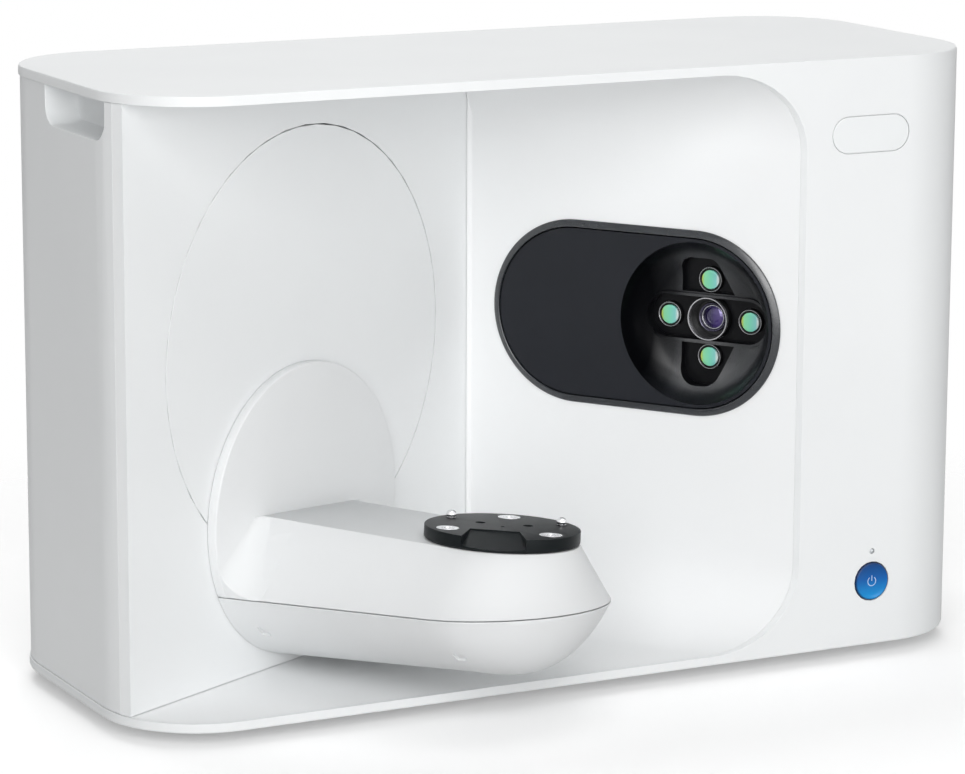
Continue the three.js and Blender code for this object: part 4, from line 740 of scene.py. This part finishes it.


# Painted shade and painted highlight on the dish wall: dark and dull on its left side, lightest and glossiest
# near its middle, and lighter towards its bottom, where light from above falls.
def dishPaintedShade(look):
    material, tree, shader = newMaterial("headDish")
    local = objectPlace(tree, middle=headFrame.translation, turn=headFrame.to_euler())
    axes = addNode(tree, "ShaderNodeSeparateXYZ", {"Vector": local}).outputs
    reach = look["reach"]
    # painted light across the dish from left to right, times painted light from bottom to top
    across = spread(tree, axes["X"], 0, 1, *[(faceLook["lens"] + x) * mm for x in (-reach, reach)])
    across = ramp(tree, across, [((x + reach) / 2 / reach, (paintedLight,) * 3) for x, paintedLight in look["across"]])
    down = spread(tree, axes["Y"], look["lowGain"], look["highGain"], *[y * mm for y in look["up"]])
    paintedLight = mathNode(tree, "MULTIPLY", across, down)
    grain = noise(tree, objectPlace(tree), look["grainScale"], detail=2, roughness=0.6)
    fill(tree, shader, {
        "Base Color": ramp(tree, paintedLight, [(0, look["shade"]), (1, look["tone"])]),
        "Specular IOR Level": spread(tree, paintedLight, *look["gloss"], *look["glossSpan"]),
        "Roughness": spread(tree, grain, *look["roughness"]),
        "Normal": bump(tree, grain, look["grainStrength"], look["grainDepth"]),
    })
    return material


addPiece("headFace", makeFace(faceLook), headFrame, "casing", ["head_face"])
lensFrame = headFrame @ Matrix.Translation((faceLook["lens"] * mm, 0, 0))
print("stage: head shell made")

# Cameras: black barrels, thin bright rims and coated glasses with painted reflection, four of each round the
# projector

cameraLook = {
    "spots": {
        "Count": 4, "Half Width": faceLook["cameraAcross"] * mm, "Half Height": faceLook["cameraUp"] * mm,
        "Start Angle": 0.0, "Step Angle": pi / 2, "Turn": 0.0,
    },
    "barrel": [
        (0, -35), (6.95, -35), (6.95, -18.0), (6.5, -17.9), (6.2, -18.1), (5.9, -19.0), (5.5, -19.1),
        (5.5, -19.4), (0, -19.4),
    ],
    "rim": [
        (6.5, -18.3), (6.86, -18.3), (6.86, -17.8), (6.76, -17.68), (6.6, -17.68), (6.5, -17.8), (6.5, -18.3),
    ],
    "glass": [
        (0, -19.2), (5.25, -19.2), (5.25, -17.95), (5.12, -17.8), (4.2, -17.7), (2.6, -17.62), (1.2, -17.6),
        (0, -17.6),
    ],
    "glassRadius": 5.25, "steps": 40,
}


# Where each point lies across its glass, from -1 to 1
def markAcross(mesh, radius):
    values = [vert.co.x / (radius * mm) for vert in mesh.vertices]
    mesh.attributes.new("lensAcross", "FLOAT", "POINT").data.foreach_set("value", values)


def addCameraRing(name, mesh, material, stands=()):
    addPiece(name, ringOf(name, mesh, material, cameraLook["spots"]), lensFrame, "casing", stands)


sides = ["left", "right", "top", "bottom"]
cameraNodes, glassNodes = ["camera_" + side for side in sides], ["camera_lens_" + side for side in sides]
barrel = turned("cameraBarrel", cameraLook["barrel"], cameraLook["steps"], plastics["barrelBlack"])
addCameraRing("cameraBarrels", barrel, plastics["barrelBlack"], cameraNodes)
rim = turned("cameraRim", cameraLook["rim"], cameraLook["steps"], metals["lensRim"])
addCameraRing("cameraRims", rim, metals["lensRim"])
glass = turned("cameraGlass", cameraLook["glass"], cameraLook["steps"], cameraGlass)
markAcross(glass, cameraLook["glassRadius"])
addCameraRing("cameraGlasses", glass, cameraGlass, glassNodes)

# Projector: a thin bright ring, a ridged black tube and a violet glass with its own rings

projectorLook = {
    "ring": [
        (11.25, -16.3), (12.0, -16.3), (12.0, -14.7), (11.85, -14.4), (11.4, -14.4), (11.25, -14.6),
        (11.25, -16.3),
    ],
    "barrel": [
        (0, -52), (11.6, -52), (11.6, -16.9), (11.4, -16.6), (10.5, -16.6), (10.3, -16.9), (10.3, -22.2),
        (8.4, -22.4), (8.3, -27), (0, -27),
    ],
    "mount": [
        (7.2, -24.5), (8.15, -24.5), (8.15, -21.2), (7.9, -20.9), (7.5, -21.2), (6.9, -22.4), (6.9, -24.5),
        (7.2, -24.5),
    ],
    "innerRing": [
        (6.2, -23.4), (6.7, -23.4), (6.7, -22.0), (6.55, -21.85), (6.35, -21.85), (6.2, -22.0), (6.2, -23.4),
    ],
    "glass": [(0, -26), (6.2, -26), (6.2, -23.2), (5.2, -22.5), (3.8, -22.0), (2.0, -21.75), (0, -21.7)],
    "glassRadius": 6.2, "steps": {"ring": 72, "barrel": 64, "mount": 56, "innerRing": 56, "glass": 56},
    "ridges": {"Count": 5, "Pitch": 1.05 * mm, "Radius": 10.25 * mm, "Thickness": 0.28 * mm, "Steps": 56},
    "ridgeSection": 8, "ridgeStart": -21.6,
}


def circleCurve(tree, steps, radius):
    return addNode(tree, "GeometryNodeCurvePrimitiveCircle", {"Resolution": steps, "Radius": radius})


# Rings stacked along Z at an even pitch
def ridgeStack(name, material, sectionSteps):
    tree, given, output = newTree(name, {
        "Count": "Int", "Pitch": "Float", "Radius": "Float", "Thickness": "Float", "Steps": "Int",
    })
    section = circleCurve(tree, sectionSteps, given["Thickness"])
    sweep = addNode(tree, "GeometryNodeCurveToMesh", {
        "Curve": circleCurve(tree, given["Steps"], given["Radius"]), "Profile Curve": section,
    })
    offset = addNode(tree, "ShaderNodeCombineXYZ", {"Z": given["Pitch"]})
    line = addNode(tree, "GeometryNodeMeshLine", {"Count": given["Count"], "Offset": offset}, mode="OFFSET")
    copies = addNode(tree, "GeometryNodeInstanceOnPoints", {"Points": line, "Instance": sweep})
    finishTree(tree, copies, output, material)
    return tree


def addProjectorPart(name, part, material, stands=()):
    mesh = turned(name, projectorLook[part], projectorLook["steps"][part], material)
    addPiece(name, mesh, lensFrame, "casing", stands)


black, bright = plastics["barrelBlack"], metals["lensRim"]
addProjectorPart("projectorRing", "ring", bright, ["projector_ring"])
addProjectorPart("projectorBarrel", "barrel", black, ["projector_barrel"])
ridgeTree = ridgeStack("projectorRidges", black, projectorLook["ridgeSection"])
ridges = grown(ridgeTree, bpy.data.meshes.new("ridgeHost"), projectorLook["ridges"])
ridgeFrame = lensFrame @ Matrix.Translation((0, 0, projectorLook["ridgeStart"] * mm))
addPiece("projectorRidges", smoothMesh(ridges, sharpAngle=60), ridgeFrame, "casing")
addProjectorPart("projectorMount", "mount", metals["lensMount"])
addProjectorPart("projectorInnerRing", "innerRing", bright)
glass = turned("projectorGlass", projectorLook["glass"], projectorLook["steps"]["glass"], projectorGlass)
markAcross(glass, projectorLook["glassRadius"])
addPiece("projectorGlass", glass, lensFrame, "casing", ["projector_lens"])
print("stage: cameras and projector made")

# Turntable: a notched plate with bright inserts and ball-headed pins, each set on its circle

drillTop = 12        # over the plate, so that each drill leaves it cleanly
tableLook = {
    "plate": [
        (0, 0), (39.8, 0), (40.6, 0.8), (40.6, 6.5), (40.52, 6.78), (40.3, 6.95), (39.9, 7.0), (0, 7.0),
    ],
    "notchInner": (13, 12.8, 6.4), "notchRim": (40.6, 17.3, 1.2), "notchShift": -2.5, "notchPast": (12, 4),
    "rows": {
        "well": {"count": 3, "radius": 30.8, "first": -60, "step": 120},
        "pinHole": {"count": 2, "radius": 33.4, "first": -120, "step": 240},
        "thread": {"count": 2, "radius": 14.5, "first": -121, "step": 242},
        "mark": {"count": 1, "radius": 0, "first": 0, "step": 0},
    },
    "well": [(0, 5.3), (6.25, 5.3), (6.25, drillTop), (0, drillTop)],
    "pinHole": [(0, 3.0), (1.6, 3.0), (1.6, 6.2), (2.9, 6.9), (2.9, drillTop), (0, drillTop)],
    "thread": [(0, 2.6), (1.7, 2.6), (1.7, 5.9), (2.7, 6.6), (2.7, drillTop), (0, drillTop)],
    "mark": [(0, 6.5), (1.0, 6.8), (1.0, drillTop), (0, drillTop)],
    "edge": {"width": 0.22, "segments": 2, "angle": 34},
    "insert": [
        (0, 5.4), (6.0, 5.4), (6.0, 6.9), (5.85, 7.05), (3.3, 7.05), (3.15, 6.75), (2.95, 6.75), (2.8, 7.0),
        (1.9, 7.0), (1.5, 6.5), (0, 6.4),
    ],
    "pin": [
        (0, 3.1), (1.5, 3.1), (1.5, 6.9), (2.3, 7.05), (2.4, 7.3), (1.9, 7.45), (2.3, 7.6), (2.6, 8.0),
        (2.75, 8.5), (2.72, 9.1), (2.5, 9.8), (2.05, 10.4), (1.4, 10.85), (0.7, 11.05), (0, 11.1),
    ],
    "plateSteps": 160, "drillSteps": 48, "insertSteps": 40, "pinSteps": 32,
}


# The notch has straight sides that open towards the rim, and a floor that falls from inner to rim.
def plateNotch(look):
    (innerX, innerY, innerZ), (rimX, rimY, rimZ) = look["notchInner"], look["notchRim"]
    (pastX, pastY), shift = look["notchPast"], look["notchShift"]
    notch = prism("plateNotch", [
        (innerX, shift - innerY), (rimX, -rimY), (rimX + pastX, -rimY - pastY), (rimX + pastX, rimY + pastY),
        (rimX, rimY), (innerX, shift + innerY),
    ], 0, drillTop)
    slope = (innerZ - rimZ) / (rimX - innerX)
    for vert in notch.vertices:
        if vert.co.z == 0:
            vert.co.z = (innerZ - (vert.co.x / mm - innerX) * slope) * mm
    return notch


def makePlate(look):
    dark = metals["plateBlack"]
    blank = turned("turntablePlate", look["plate"], look["plateSteps"], dark)
    steps = [("DIFFERENCE", plateNotch(look))]
    for kind, row in look["rows"].items():
        for i in range(row["count"]):
            angle, radius = radians(row["first"] + row["step"] * i), row["radius"]
            drill = turned("plateHole", look[kind], look["drillSteps"], dark)
            steps.append(("DIFFERENCE", shifted(drill, radius * cos(angle), radius * sin(angle))))
    return painted(carved("turntablePlate", blank, steps, look["edge"]), dark)


def addPlateRing(name, part, row, steps, stands):
    steel, row = metals["brightSteel"], tableLook["rows"][row]
    ring = ringOf(name, turned(part, tableLook[part], steps, steel), steel, {
        "Count": row["count"], "Half Width": row["radius"] * mm, "Half Height": row["radius"] * mm,
        "Start Angle": radians(row["first"]), "Step Angle": radians(row["step"]), "Turn": 1.0,
    })
    addPiece(name, ring, plateFrame, "turntable", stands)


addPiece("turntablePlate", makePlate(tableLook), plateFrame, "turntable", ["turntable_plate"])
plateInserts = ["plate_insert_%d" % i for i in (1, 2, 3)]
addPlateRing("plateInserts", "insert", "well", tableLook["insertSteps"], plateInserts)
addPlateRing("locatingPins", "pin", "pinHole", tableLook["pinSteps"], ["locating_pin_1", "locating_pin_2"])
print("stage: turntable fittings made")

# Power button: a dished cap and a plain on-off sign

buttonLook = {
    "middle": (180, 36), "steps": 72,
    "cap": [
        (0, -8.7), (2.2, -8.7), (2.2, -4.7), (11.7, -4.7), (11.7, -3.3), (10.5, -3.3), (10.5, 0.25),
        (10.35, 0.6), (10.05, 0.84), (9.7, 0.9), (9.3, 0.84), (8.8, 0.72), (7.0, 0.5), (4.8, 0.42),
        (2.4, 0.4), (0, 0.4),
    ],
    "finish": {
        "radius": 10.5, "cloudScale": 1.6, "wobble": 0.12, "rim": (0.9, 1.0),
        # painted shade and light down the cap, from its top to its bottom
        "paintedShadeFall": [(0.1, (0.0, 0.052, 0.22)), (0.5, (0.0, 0.11, 0.41)), (0.95, (0.002, 0.27, 0.66))],
        "rimTone": (0.0, 0.018, 0.08), "roughness": (0.16, 0.24), "gloss": 0.25,
        "coat": 0.2, "coatRoughness": 0.05,
    },
    "sign": {
        "Radius": 2.55 * mm, "Gap": radians(70), "Stroke": 0.24 * mm,
        "Bar Low": 0.2 * mm, "Bar High": 3.3 * mm,
    },
    "signShape": {"arcSteps": 40, "sectionSteps": 10, "flatness": 0.35}, "signHeight": 0.41,
}
buttonFrame = panelFrame @ Matrix.Translation((buttonLook["middle"][0] * mm, buttonLook["middle"][1] * mm, 0))


# Blue with painted light and shade: lighter towards the bottom of the cap and darker towards its top, and
# darker round the rim
def buttonBlueWithPaintedShade(look):
    material, tree, shader = newMaterial("buttonDeepBlue")
    local = objectPlace(tree, scale=(look["radius"] * mm,) * 3, middle=buttonFrame.translation)
    height = addNode(tree, "ShaderNodeSeparateXYZ", {"Vector": local}).outputs["Z"]
    cloud = noise(tree, local, look["cloudScale"], detail=2)
    down = mathNode(tree, "MULTIPLY_ADD", cloud, look["wobble"], spread(tree, height, 1, 0, -1, 1))
    flat = addNode(tree, "ShaderNodeVectorMath", {0: local, 1: (1, 0, 1)}, operation="MULTIPLY")
    away = addNode(tree, "ShaderNodeVectorMath", {0: flat}, operation="LENGTH").outputs["Value"]
    rim = spread(tree, away, 0, 1, *look["rim"])
    fill(tree, shader, {
        "Base Color": mixColours(tree, rim, ramp(tree, down, look["paintedShadeFall"]), (*look["rimTone"], 1)),
        "Roughness": spread(tree, cloud, *look["roughness"]), "Specular IOR Level": look["gloss"],
        "Coat Weight": look["coat"], "Coat Roughness": look["coatRoughness"],
    })
    return material


# An open arc with a bar in its gap, as a flattened bead.
def signTree(name, material, shape):
    tree, given, output = newTree(name, {
        "Radius": "Float", "Gap": "Float", "Stroke": "Float", "Bar Low": "Float", "Bar High": "Float",
    })
    arc = addNode(tree, "GeometryNodeCurveArc", {
        "Resolution": shape["arcSteps"], "Radius": given["Radius"],
        "Start Angle": mathNode(tree, "ADD", mathNode(tree, "MULTIPLY", given["Gap"], 0.5), pi / 2),
        "Sweep Angle": mathNode(tree, "SUBTRACT", 2 * pi, given["Gap"]),
    }, mode="RADIUS")
    bar = addNode(tree, "GeometryNodeCurvePrimitiveLine", {
        "Start": addNode(tree, "ShaderNodeCombineXYZ", {"Y": given["Bar Low"]}),
        "End": addNode(tree, "ShaderNodeCombineXYZ", {"Y": given["Bar High"]}),
    })
    both = addNode(tree, "GeometryNodeJoinGeometry")
    for line in (arc, bar):
        fill(tree, both, {0: line})
    section = circleCurve(tree, shape["sectionSteps"], given["Stroke"])
    bead = addNode(tree, "GeometryNodeCurveToMesh", {
        "Curve": both, "Profile Curve": section, "Fill Caps": True,
    })
    flat = addNode(tree, "GeometryNodeTransform", {0: bead, "Scale": (1, 1, shape["flatness"])})
    finishTree(tree, flat, output, material)
    return tree


cap = turned("buttonCap", buttonLook["cap"], buttonLook["steps"], buttonBlueWithPaintedShade(buttonLook["finish"]))
addPiece("buttonCap", cap, buttonFrame, "power_button", ["power_button"])
powerSign = signTree("buttonSign", plastics["signPale"], buttonLook["signShape"])
sign = grown(powerSign, bpy.data.meshes.new("signHost"), buttonLook["sign"])
signFrame = buttonFrame @ Matrix.Translation((0, 0, buttonLook["signHeight"] * mm))
addPiece("buttonSign", smoothMesh(sign, sharpAngle=60), signFrame, "power_button")
print("stage: button made")

# Swing arm. Its sections are arcs of the flange circle, squeezed towards the keel. Heights are
# measured from the swing axis and reaches from the swing disc; seamEdge and topEdge give inset and
# lift as shares of their rounding, and notches give reach and drop.

armLook = {
    "flangeRadius": 79.1, "flangeHeight": -87.2, "flangeBack": 0.4, "flangeFront": 6.0, "flangeSteps": 160,
    "flangeEdge": [(0, 0.8), (0.1, 0.45), (0.35, 0.12), (0.8, 0)],
    "topHeight": -87.0, "topHalf": 40, "topTip": 40.9, "topRound": 0.7,
    "seamStart": -128.1, "seamRise": 0.062, "seamTip": 53.8, "seamGap": 0.55, "seamRound": 0.75,
    "seamInset": 3, "seamEdge": [(1, 0), (0.42, 0.1), (0.1, 0.45)], "sideLevels": [0.02, 0.35, 0.7, 0.98],
    "topEdge": [(0.06, -0.4), (0.35, -0.1), (1, 0)],
    "keelRise": 0.081, "keelAngle": 84, "tipPower": 0.7, "reach": 131.6, "hullOverlap": 1,
    "topBlend": 7, "seamBlend": 23, "blendSink": 0.12, "blendBack": 1.5, "blendSeam": 0.15, "blendTop": 0.05,
    "tipSteps": 56, "hullSteps": 18, "hullSamples": 60, "blendSteps": 44, "sideSteps": 56,
    "lipDrop": 0.4, "lipRings": [(0.9985, 0.28), (0.995, 0.12), (0.95, 0)],
    "notches": [(140.4, 12.9), (19.5, 17.5)], "notchSize": (5.8, 7.2), "notchDepth": 1.5, "notchOut": 8,
    "cutter": {"side": 200, "below": -400, "back": -10, "front": 20, "seamAt": 3},
    "flangeSoft": {"width": 0.25, "segments": 2, "angle": 40},
    "lowerSoft": {"width": 0.18, "segments": 2, "angle": 40},
}


def seamHeight(reach):
    return armLook["seamStart"] + armLook["seamRise"] * reach


def flangeHalf(height):
    return sqrt(max(armLook["flangeRadius"] ** 2 - (height - armLook["flangeHeight"]) ** 2, 0))


# A level line of the arm: straight sides from the disc, and half an ellipse round the tip
def hullRing(look, half, tip, start, heightAt):
    ring = [(-half, heightAt(start), start)]
    for step in range(look["tipSteps"] + 1):
        angle = pi * (1 - step / look["tipSteps"])
        reach = look["reach"] + tip * sin(angle)
        ring.append((half * cos(angle), heightAt(reach), reach))
    return ring + [(half, heightAt(start), start)]


# One section of the hull, from the seam (share 0) down to the keel (share 1): its width as a share of
# the width at the seam, and its level as a function of the reach
def hullSection(look, share):
    seamArc = acos(flangeHalf(look["seamStart"]) / look["flangeRadius"])
    angle = seamArc + (radians(look["keelAngle"]) - seamArc) * share
    depth = (sin(angle) - sin(seamArc)) / (1 - sin(seamArc))

    def levelAt(reach):
        keel = look["flangeHeight"] - look["flangeRadius"] + look["keelRise"] * min(reach, look["reach"])
        return seamHeight(reach) + (keel - seamHeight(reach)) * depth

    return cos(angle) / cos(seamArc), levelAt


# Rings below the seam, from the keel upwards
def lowerRings(look):
    seamHalf = flangeHalf(look["seamStart"])
    rings = []
    for step in range(look["hullSteps"] + 1):
        width, levelAt = hullSection(look, 1 - step / look["hullSteps"])
        tip = look["seamTip"] * width ** look["tipPower"]
        rings.append(hullRing(look, seamHalf * width, tip, look["flangeBack"], levelAt))
    return rings


# Half width of the lower shell at a height and a reach, between the two sections next to it
def hullSide(look, height, reach):
    above = None
    for step in range(look["hullSamples"] + 1):
        width, levelAt = hullSection(look, step / look["hullSamples"])
        tip = look["seamTip"] * width ** look["tipPower"]
        share = min(max(reach - look["reach"], 0) / tip, 1)
        half = flangeHalf(look["seamStart"]) * width * sqrt(1 - share ** 2)
        level = levelAt(reach)
        if level <= height and above:
            part = (above[0] - height) / (above[0] - level)
            return above[1] + (half - above[1]) * part
        above = (level, half)
    return half


def lofted(name, rings):
    shape = bmesh.new()
    rows = [[shape.verts.new((x * mm, y * mm, z * mm)) for x, y, z in ring] for ring in rings]
    bridgeRows(shape, rows)
    shape.faces.new(rows[0])
    shape.faces.new(rows[-1])
    bmesh.ops.recalc_face_normals(shape, faces=shape.faces[:])
    return meshFrom(name, shape)


def joined(name, meshes, material):
    shape = bmesh.new()
    for mesh in meshes:
        shape.from_mesh(mesh)
    return smoothMesh(painted(meshFrom(name, shape), material))


def makeUpperShell(look):
    white = plastics["armWhite"]
    seamHalf, seamTip = flangeHalf(look["seamStart"]), look["seamTip"]
    topHalf, topTip = look["topHalf"], look["topTip"]

    def level(share, inset=0, lift=0):
        half = seamHalf + (topHalf - seamHalf) * share - inset
        tip = seamTip + (topTip - seamTip) * share - inset
        return hullRing(look, half, tip, look["flangeBack"] + look["hullOverlap"], lambda reach: (
            (seamHeight(reach) + look["seamGap"] / 2) * (1 - share) + look["topHeight"] * share + lift
        ))

    edge, rounding = look["seamRound"], look["topRound"]
    rings = [level(0, look["seamInset"])]
    rings += [level(0, inset * edge, lift * edge) for inset, lift in look["seamEdge"]]
    rings += [level(share) for share in look["sideLevels"]]
    rings += [level(1, inset * rounding, lift * rounding) for inset, lift in look["topEdge"]]
    hull = lofted("armHull", rings)

    radius, back, front = look["flangeRadius"], look["flangeBack"], look["flangeFront"]
    profile = [(0, back), (radius, back)]
    profile += [(radius - inset, front - drop) for inset, drop in look["flangeEdge"]] + [(0, front)]
    disc = shifted(turned("armFlange", profile, look["flangeSteps"], white), 0, look["flangeHeight"])
    cutter = look["cutter"]
    seam = seamHeight(cutter["seamAt"]) + look["seamGap"] / 2
    low = (-cutter["side"], cutter["below"], cutter["back"])
    belowSeam = boxMesh("belowSeam", low, (cutter["side"], seam, cutter["front"]))
    disc = carved("armFlange", disc, [("DIFFERENCE", belowSeam)], look["flangeSoft"])
    return joined("armUpperShell", [hull, disc, rootBlend(look)], white)


# Hollow root where the flange runs into the sides of the arm: wide at the seam, tight at the top.
def rootBlend(look):
    top, topHalf, sink = look["topHeight"], look["topHalf"], look["blendSink"]

    def section(reach):
        side = []
        for step in range(look["sideSteps"] + 1):
            drop = 1 - step / look["sideSteps"]
            seam = seamHeight(reach) + look["seamGap"] / 2 + look["blendSeam"]
            height = top - look["blendTop"] + (seam - top) * drop
            half = topHalf + (flangeHalf(look["seamStart"]) - topHalf) * drop
            length = look["topBlend"] + (look["seamBlend"] - look["topBlend"]) * drop
            room = max(flangeHalf(height) - half - sink, 0)
            progress = min(max((reach - look["flangeFront"]) / length, 0), 1)
            flare = min(length * (1 - sqrt(1 - (1 - progress) ** 2)), room)
            side.append((half + flare - sink, height, reach))
        return side + [(-x, y, z) for x, y, z in reversed(side)]

    reaches = [look["flangeFront"] - look["blendBack"]]
    for step in range(look["blendSteps"] + 1):
        angle = pi / 2 * step / look["blendSteps"]
        reaches.append(look["flangeFront"] + look["seamBlend"] * (1 - cos(angle)))
    return lofted("rootBlend", [section(reach) for reach in reaches])


# A box that cuts a clip notch. It is set square to the hull's side, at a reach from the disc and a
# drop below the start of the seam.
def clipNotch(look, reach, drop, side):
    (wide, high), deep = look["notchSize"], look["notchDepth"]
    height = look["seamStart"] - drop
    half = hullSide(look, height, reach)
    slopes = (hullSide(look, height + 1, reach) - half, hullSide(look, height, reach + 1) - half)
    out = Vector((side, -slopes[0], -slopes[1])).normalized()
    along = (Vector((0, 0, 1)) - out * out.z).normalized()
    box = boxMesh("notch", (-wide / 2, -high / 2, -deep), (wide / 2, high / 2, look["notchOut"]))
    place = Matrix.Translation(Vector((side * half, height, reach)) * mm)
    box.transform(place @ axesAt(Vector(), along, out.cross(along)))
    return box


def makeLowerShell(look):
    rings = lowerRings(look)
    drop = look["seamGap"] / 2 + look["lipDrop"]
    rings[-1] = [(x, y - drop, z) for x, y, z in rings[-1]]
    for narrowing, rise in look["lipRings"]:
        rings.append([(x * narrowing, y + rise, z) for x, y, z in rings[-1]])
    hull = lofted("armLower", rings)
    steps = [
        ("DIFFERENCE", clipNotch(look, reach, notchDrop, side))
        for reach, notchDrop in look["notches"] for side in (-1, 1)
    ]
    return painted(carved("armLowerShell", hull, steps, look["lowerSoft"]), plastics["armWhite"])


addPiece("armUpperShell", makeUpperShell(armLook), armFrame, "arm", ["arm_upper_shell"])
addPiece("armLowerShell", makeLowerShell(armLook), armFrame, "arm", ["arm_lower_shell"])
print("stage: swing arm made")

# Bare inlay on the front panel with a softened rim

inlayLook = {
    "middle": (173.0, 284.5), "halfStraight": 14.2, "radius": 9.75, "depth": 0.9, "arcSteps": 36,
    "edge": {"width": 0.3, "segments": 3, "angle": 30},
}


def makeInlay(look):
    outline = pillPoints(look["halfStraight"], look["radius"], *look["middle"], count=look["arcSteps"])
    blank = prism("inlay", outline, -look["depth"], 0)
    return painted(carved("inlay", blank, [], look["edge"]), plastics["inlayWhite"])


addPiece("frontInlay", makeInlay(inlayLook), panelFrame, "casing", ["badge_inlay"])


# Camera

def makeCamera(look):
    yaw, pitch, roll = look["yaw"], look["pitch"], look["roll"]
    forward = Vector((sin(yaw) * cos(pitch), cos(yaw) * cos(pitch), -sin(pitch)))
    right = Vector((cos(yaw), -sin(yaw), 0))
    down = forward.cross(right)
    rolledRight = cos(roll) * right + sin(roll) * down
    rolledDown = -sin(roll) * right + cos(roll) * down
    turn = Matrix((rolledRight, -rolledDown, -forward)).transposed().to_4x4()
    data = bpy.data.cameras.new("photoCamera")
    data.lens = look["lens"]
    data.sensor_width = look["sensor"]
    data.clip_start, data.clip_end = look["clip"]
    camera = bpy.data.objects.new("photoCamera", data)
    camera.matrix_world = Matrix.Translation(casingOrigin + Vector(look["place"])) @ turn
    scene.collection.objects.link(camera)
    scene.camera = camera


makeCamera({
    "lens": 148.14, "sensor": 36, "clip": (0.05, 30), "yaw": 0.47531, "pitch": 0.20205, "roll": -0.00378,
    "place": (-0.98108, -1.88974, 0.57856),
})


# Floor, lamps and the white surroundings

# White where the camera sees it, with its far edge faded out, and a little darker for bounced light
def makeFloor(look):
    mesh = bpy.data.meshes.new("studioFloor")
    half = look["half"]
    corners = [(-half, -half, 0), (half, -half, 0), (half, half, 0), (-half, half, 0)]
    mesh.from_pydata(corners, [], [(0, 1, 2, 3)])
    floor = bpy.data.objects.new("studioFloor", mesh)
    scene.collection.objects.link(floor)
    material, tree, shader = newMaterial("studioFloor")
    fromCamera = addNode(tree, "ShaderNodeLightPath").outputs["Is Camera Ray"]
    bounceTone, seenTone = (*look["bounceTone"], 1), (*look["seenTone"], 1)
    fill(tree, shader, {
        "Base Color": mixColours(tree, fromCamera, bounceTone, seenTone),
        "Roughness": 1, "Specular IOR Level": 0, "Emission Color": seenTone,
        "Emission Strength": mathNode(tree, "MULTIPLY", fromCamera, look["lift"]),
    })
    place = objectPlace(tree, scale=(look["fade"],) * 3)
    fade = addNode(tree, "ShaderNodeTexGradient", {"Vector": place}, gradient_type="SPHERICAL").outputs["Fac"]
    edge = mathNode(tree, "MULTIPLY", spread(tree, fade, 1, 0, 0, look["fadeShare"]), fromCamera)
    clear = addNode(tree, "ShaderNodeBsdfTransparent")
    surface = addNode(tree, "ShaderNodeMixShader", {0: edge, 1: shader, 2: clear})
    fill(tree, tree.nodes["Material Output"], {"Surface": surface})
    mesh.materials.append(material)


makeFloor({
    "half": 3, "bounceTone": (0.8, 0.8, 0.8), "seenTone": (1, 1, 1), "lift": 0.24,
    "fade": 0.64, "fadeShare": 0.48,
})


# Full white behind the object, in its reflections and through its glass, and a dim fill for the rest
def makeWorld(look):
    world = bpy.data.worlds.new("studioWorld")
    scene.world = world
    world.use_nodes = True
    tree = world.node_tree
    rays = addNode(tree, "ShaderNodeLightPath").outputs
    direct = mathNode(tree, "MAXIMUM", rays["Is Camera Ray"], rays["Is Glossy Ray"])
    direct = mathNode(tree, "MAXIMUM", direct, rays["Is Transmission Ray"])
    strength = spread(tree, direct, look["fill"], 1, 0, 1)
    fill(tree, tree.nodes["Background"], {"Color": (*look["tone"], 1), "Strength": strength})


makeWorld({"tone": (1, 1, 1), "fill": 0.163})


def addLamp(name, look):
    data = bpy.data.lights.new(name, "AREA")
    data.shape = "RECTANGLE"
    data.size, data.size_y = look["size"]
    data.energy = look["power"]
    lamp = bpy.data.objects.new(name, data)
    scene.collection.objects.link(lamp)
    place = Vector(look["place"])
    turn = (place - lampTarget).to_track_quat("Z", "Y").to_matrix().to_4x4()
    lamp.matrix_world = Matrix.Translation(place) @ turn


lampTarget = Vector((0, -0.05, 0.16))
softboxes = {
    "keyLow": {"size": (2.0, 1.4), "power": 21.7, "place": (-1.25, -2.6, 0.55)},
    "keyHigh": {"size": (2.0, 1.4), "power": 34.7, "place": (-1.1, -2.3, 1.5)},
    "frontRight": {"size": (1.6, 1.2), "power": 14, "place": (0.9, -2.8, 0.3)},
    "topBack": {"size": (1.8, 1.2), "power": 21.2, "place": (0.1, 1.1, 2.2)},
    "topFront": {"size": (1.8, 1.2), "power": 9, "place": (0, -0.6, 2.6)},
}
for name, look in softboxes.items():
    addLamp(name, look)
scene.view_settings.view_transform = "Standard"
print("stage: camera and light set")
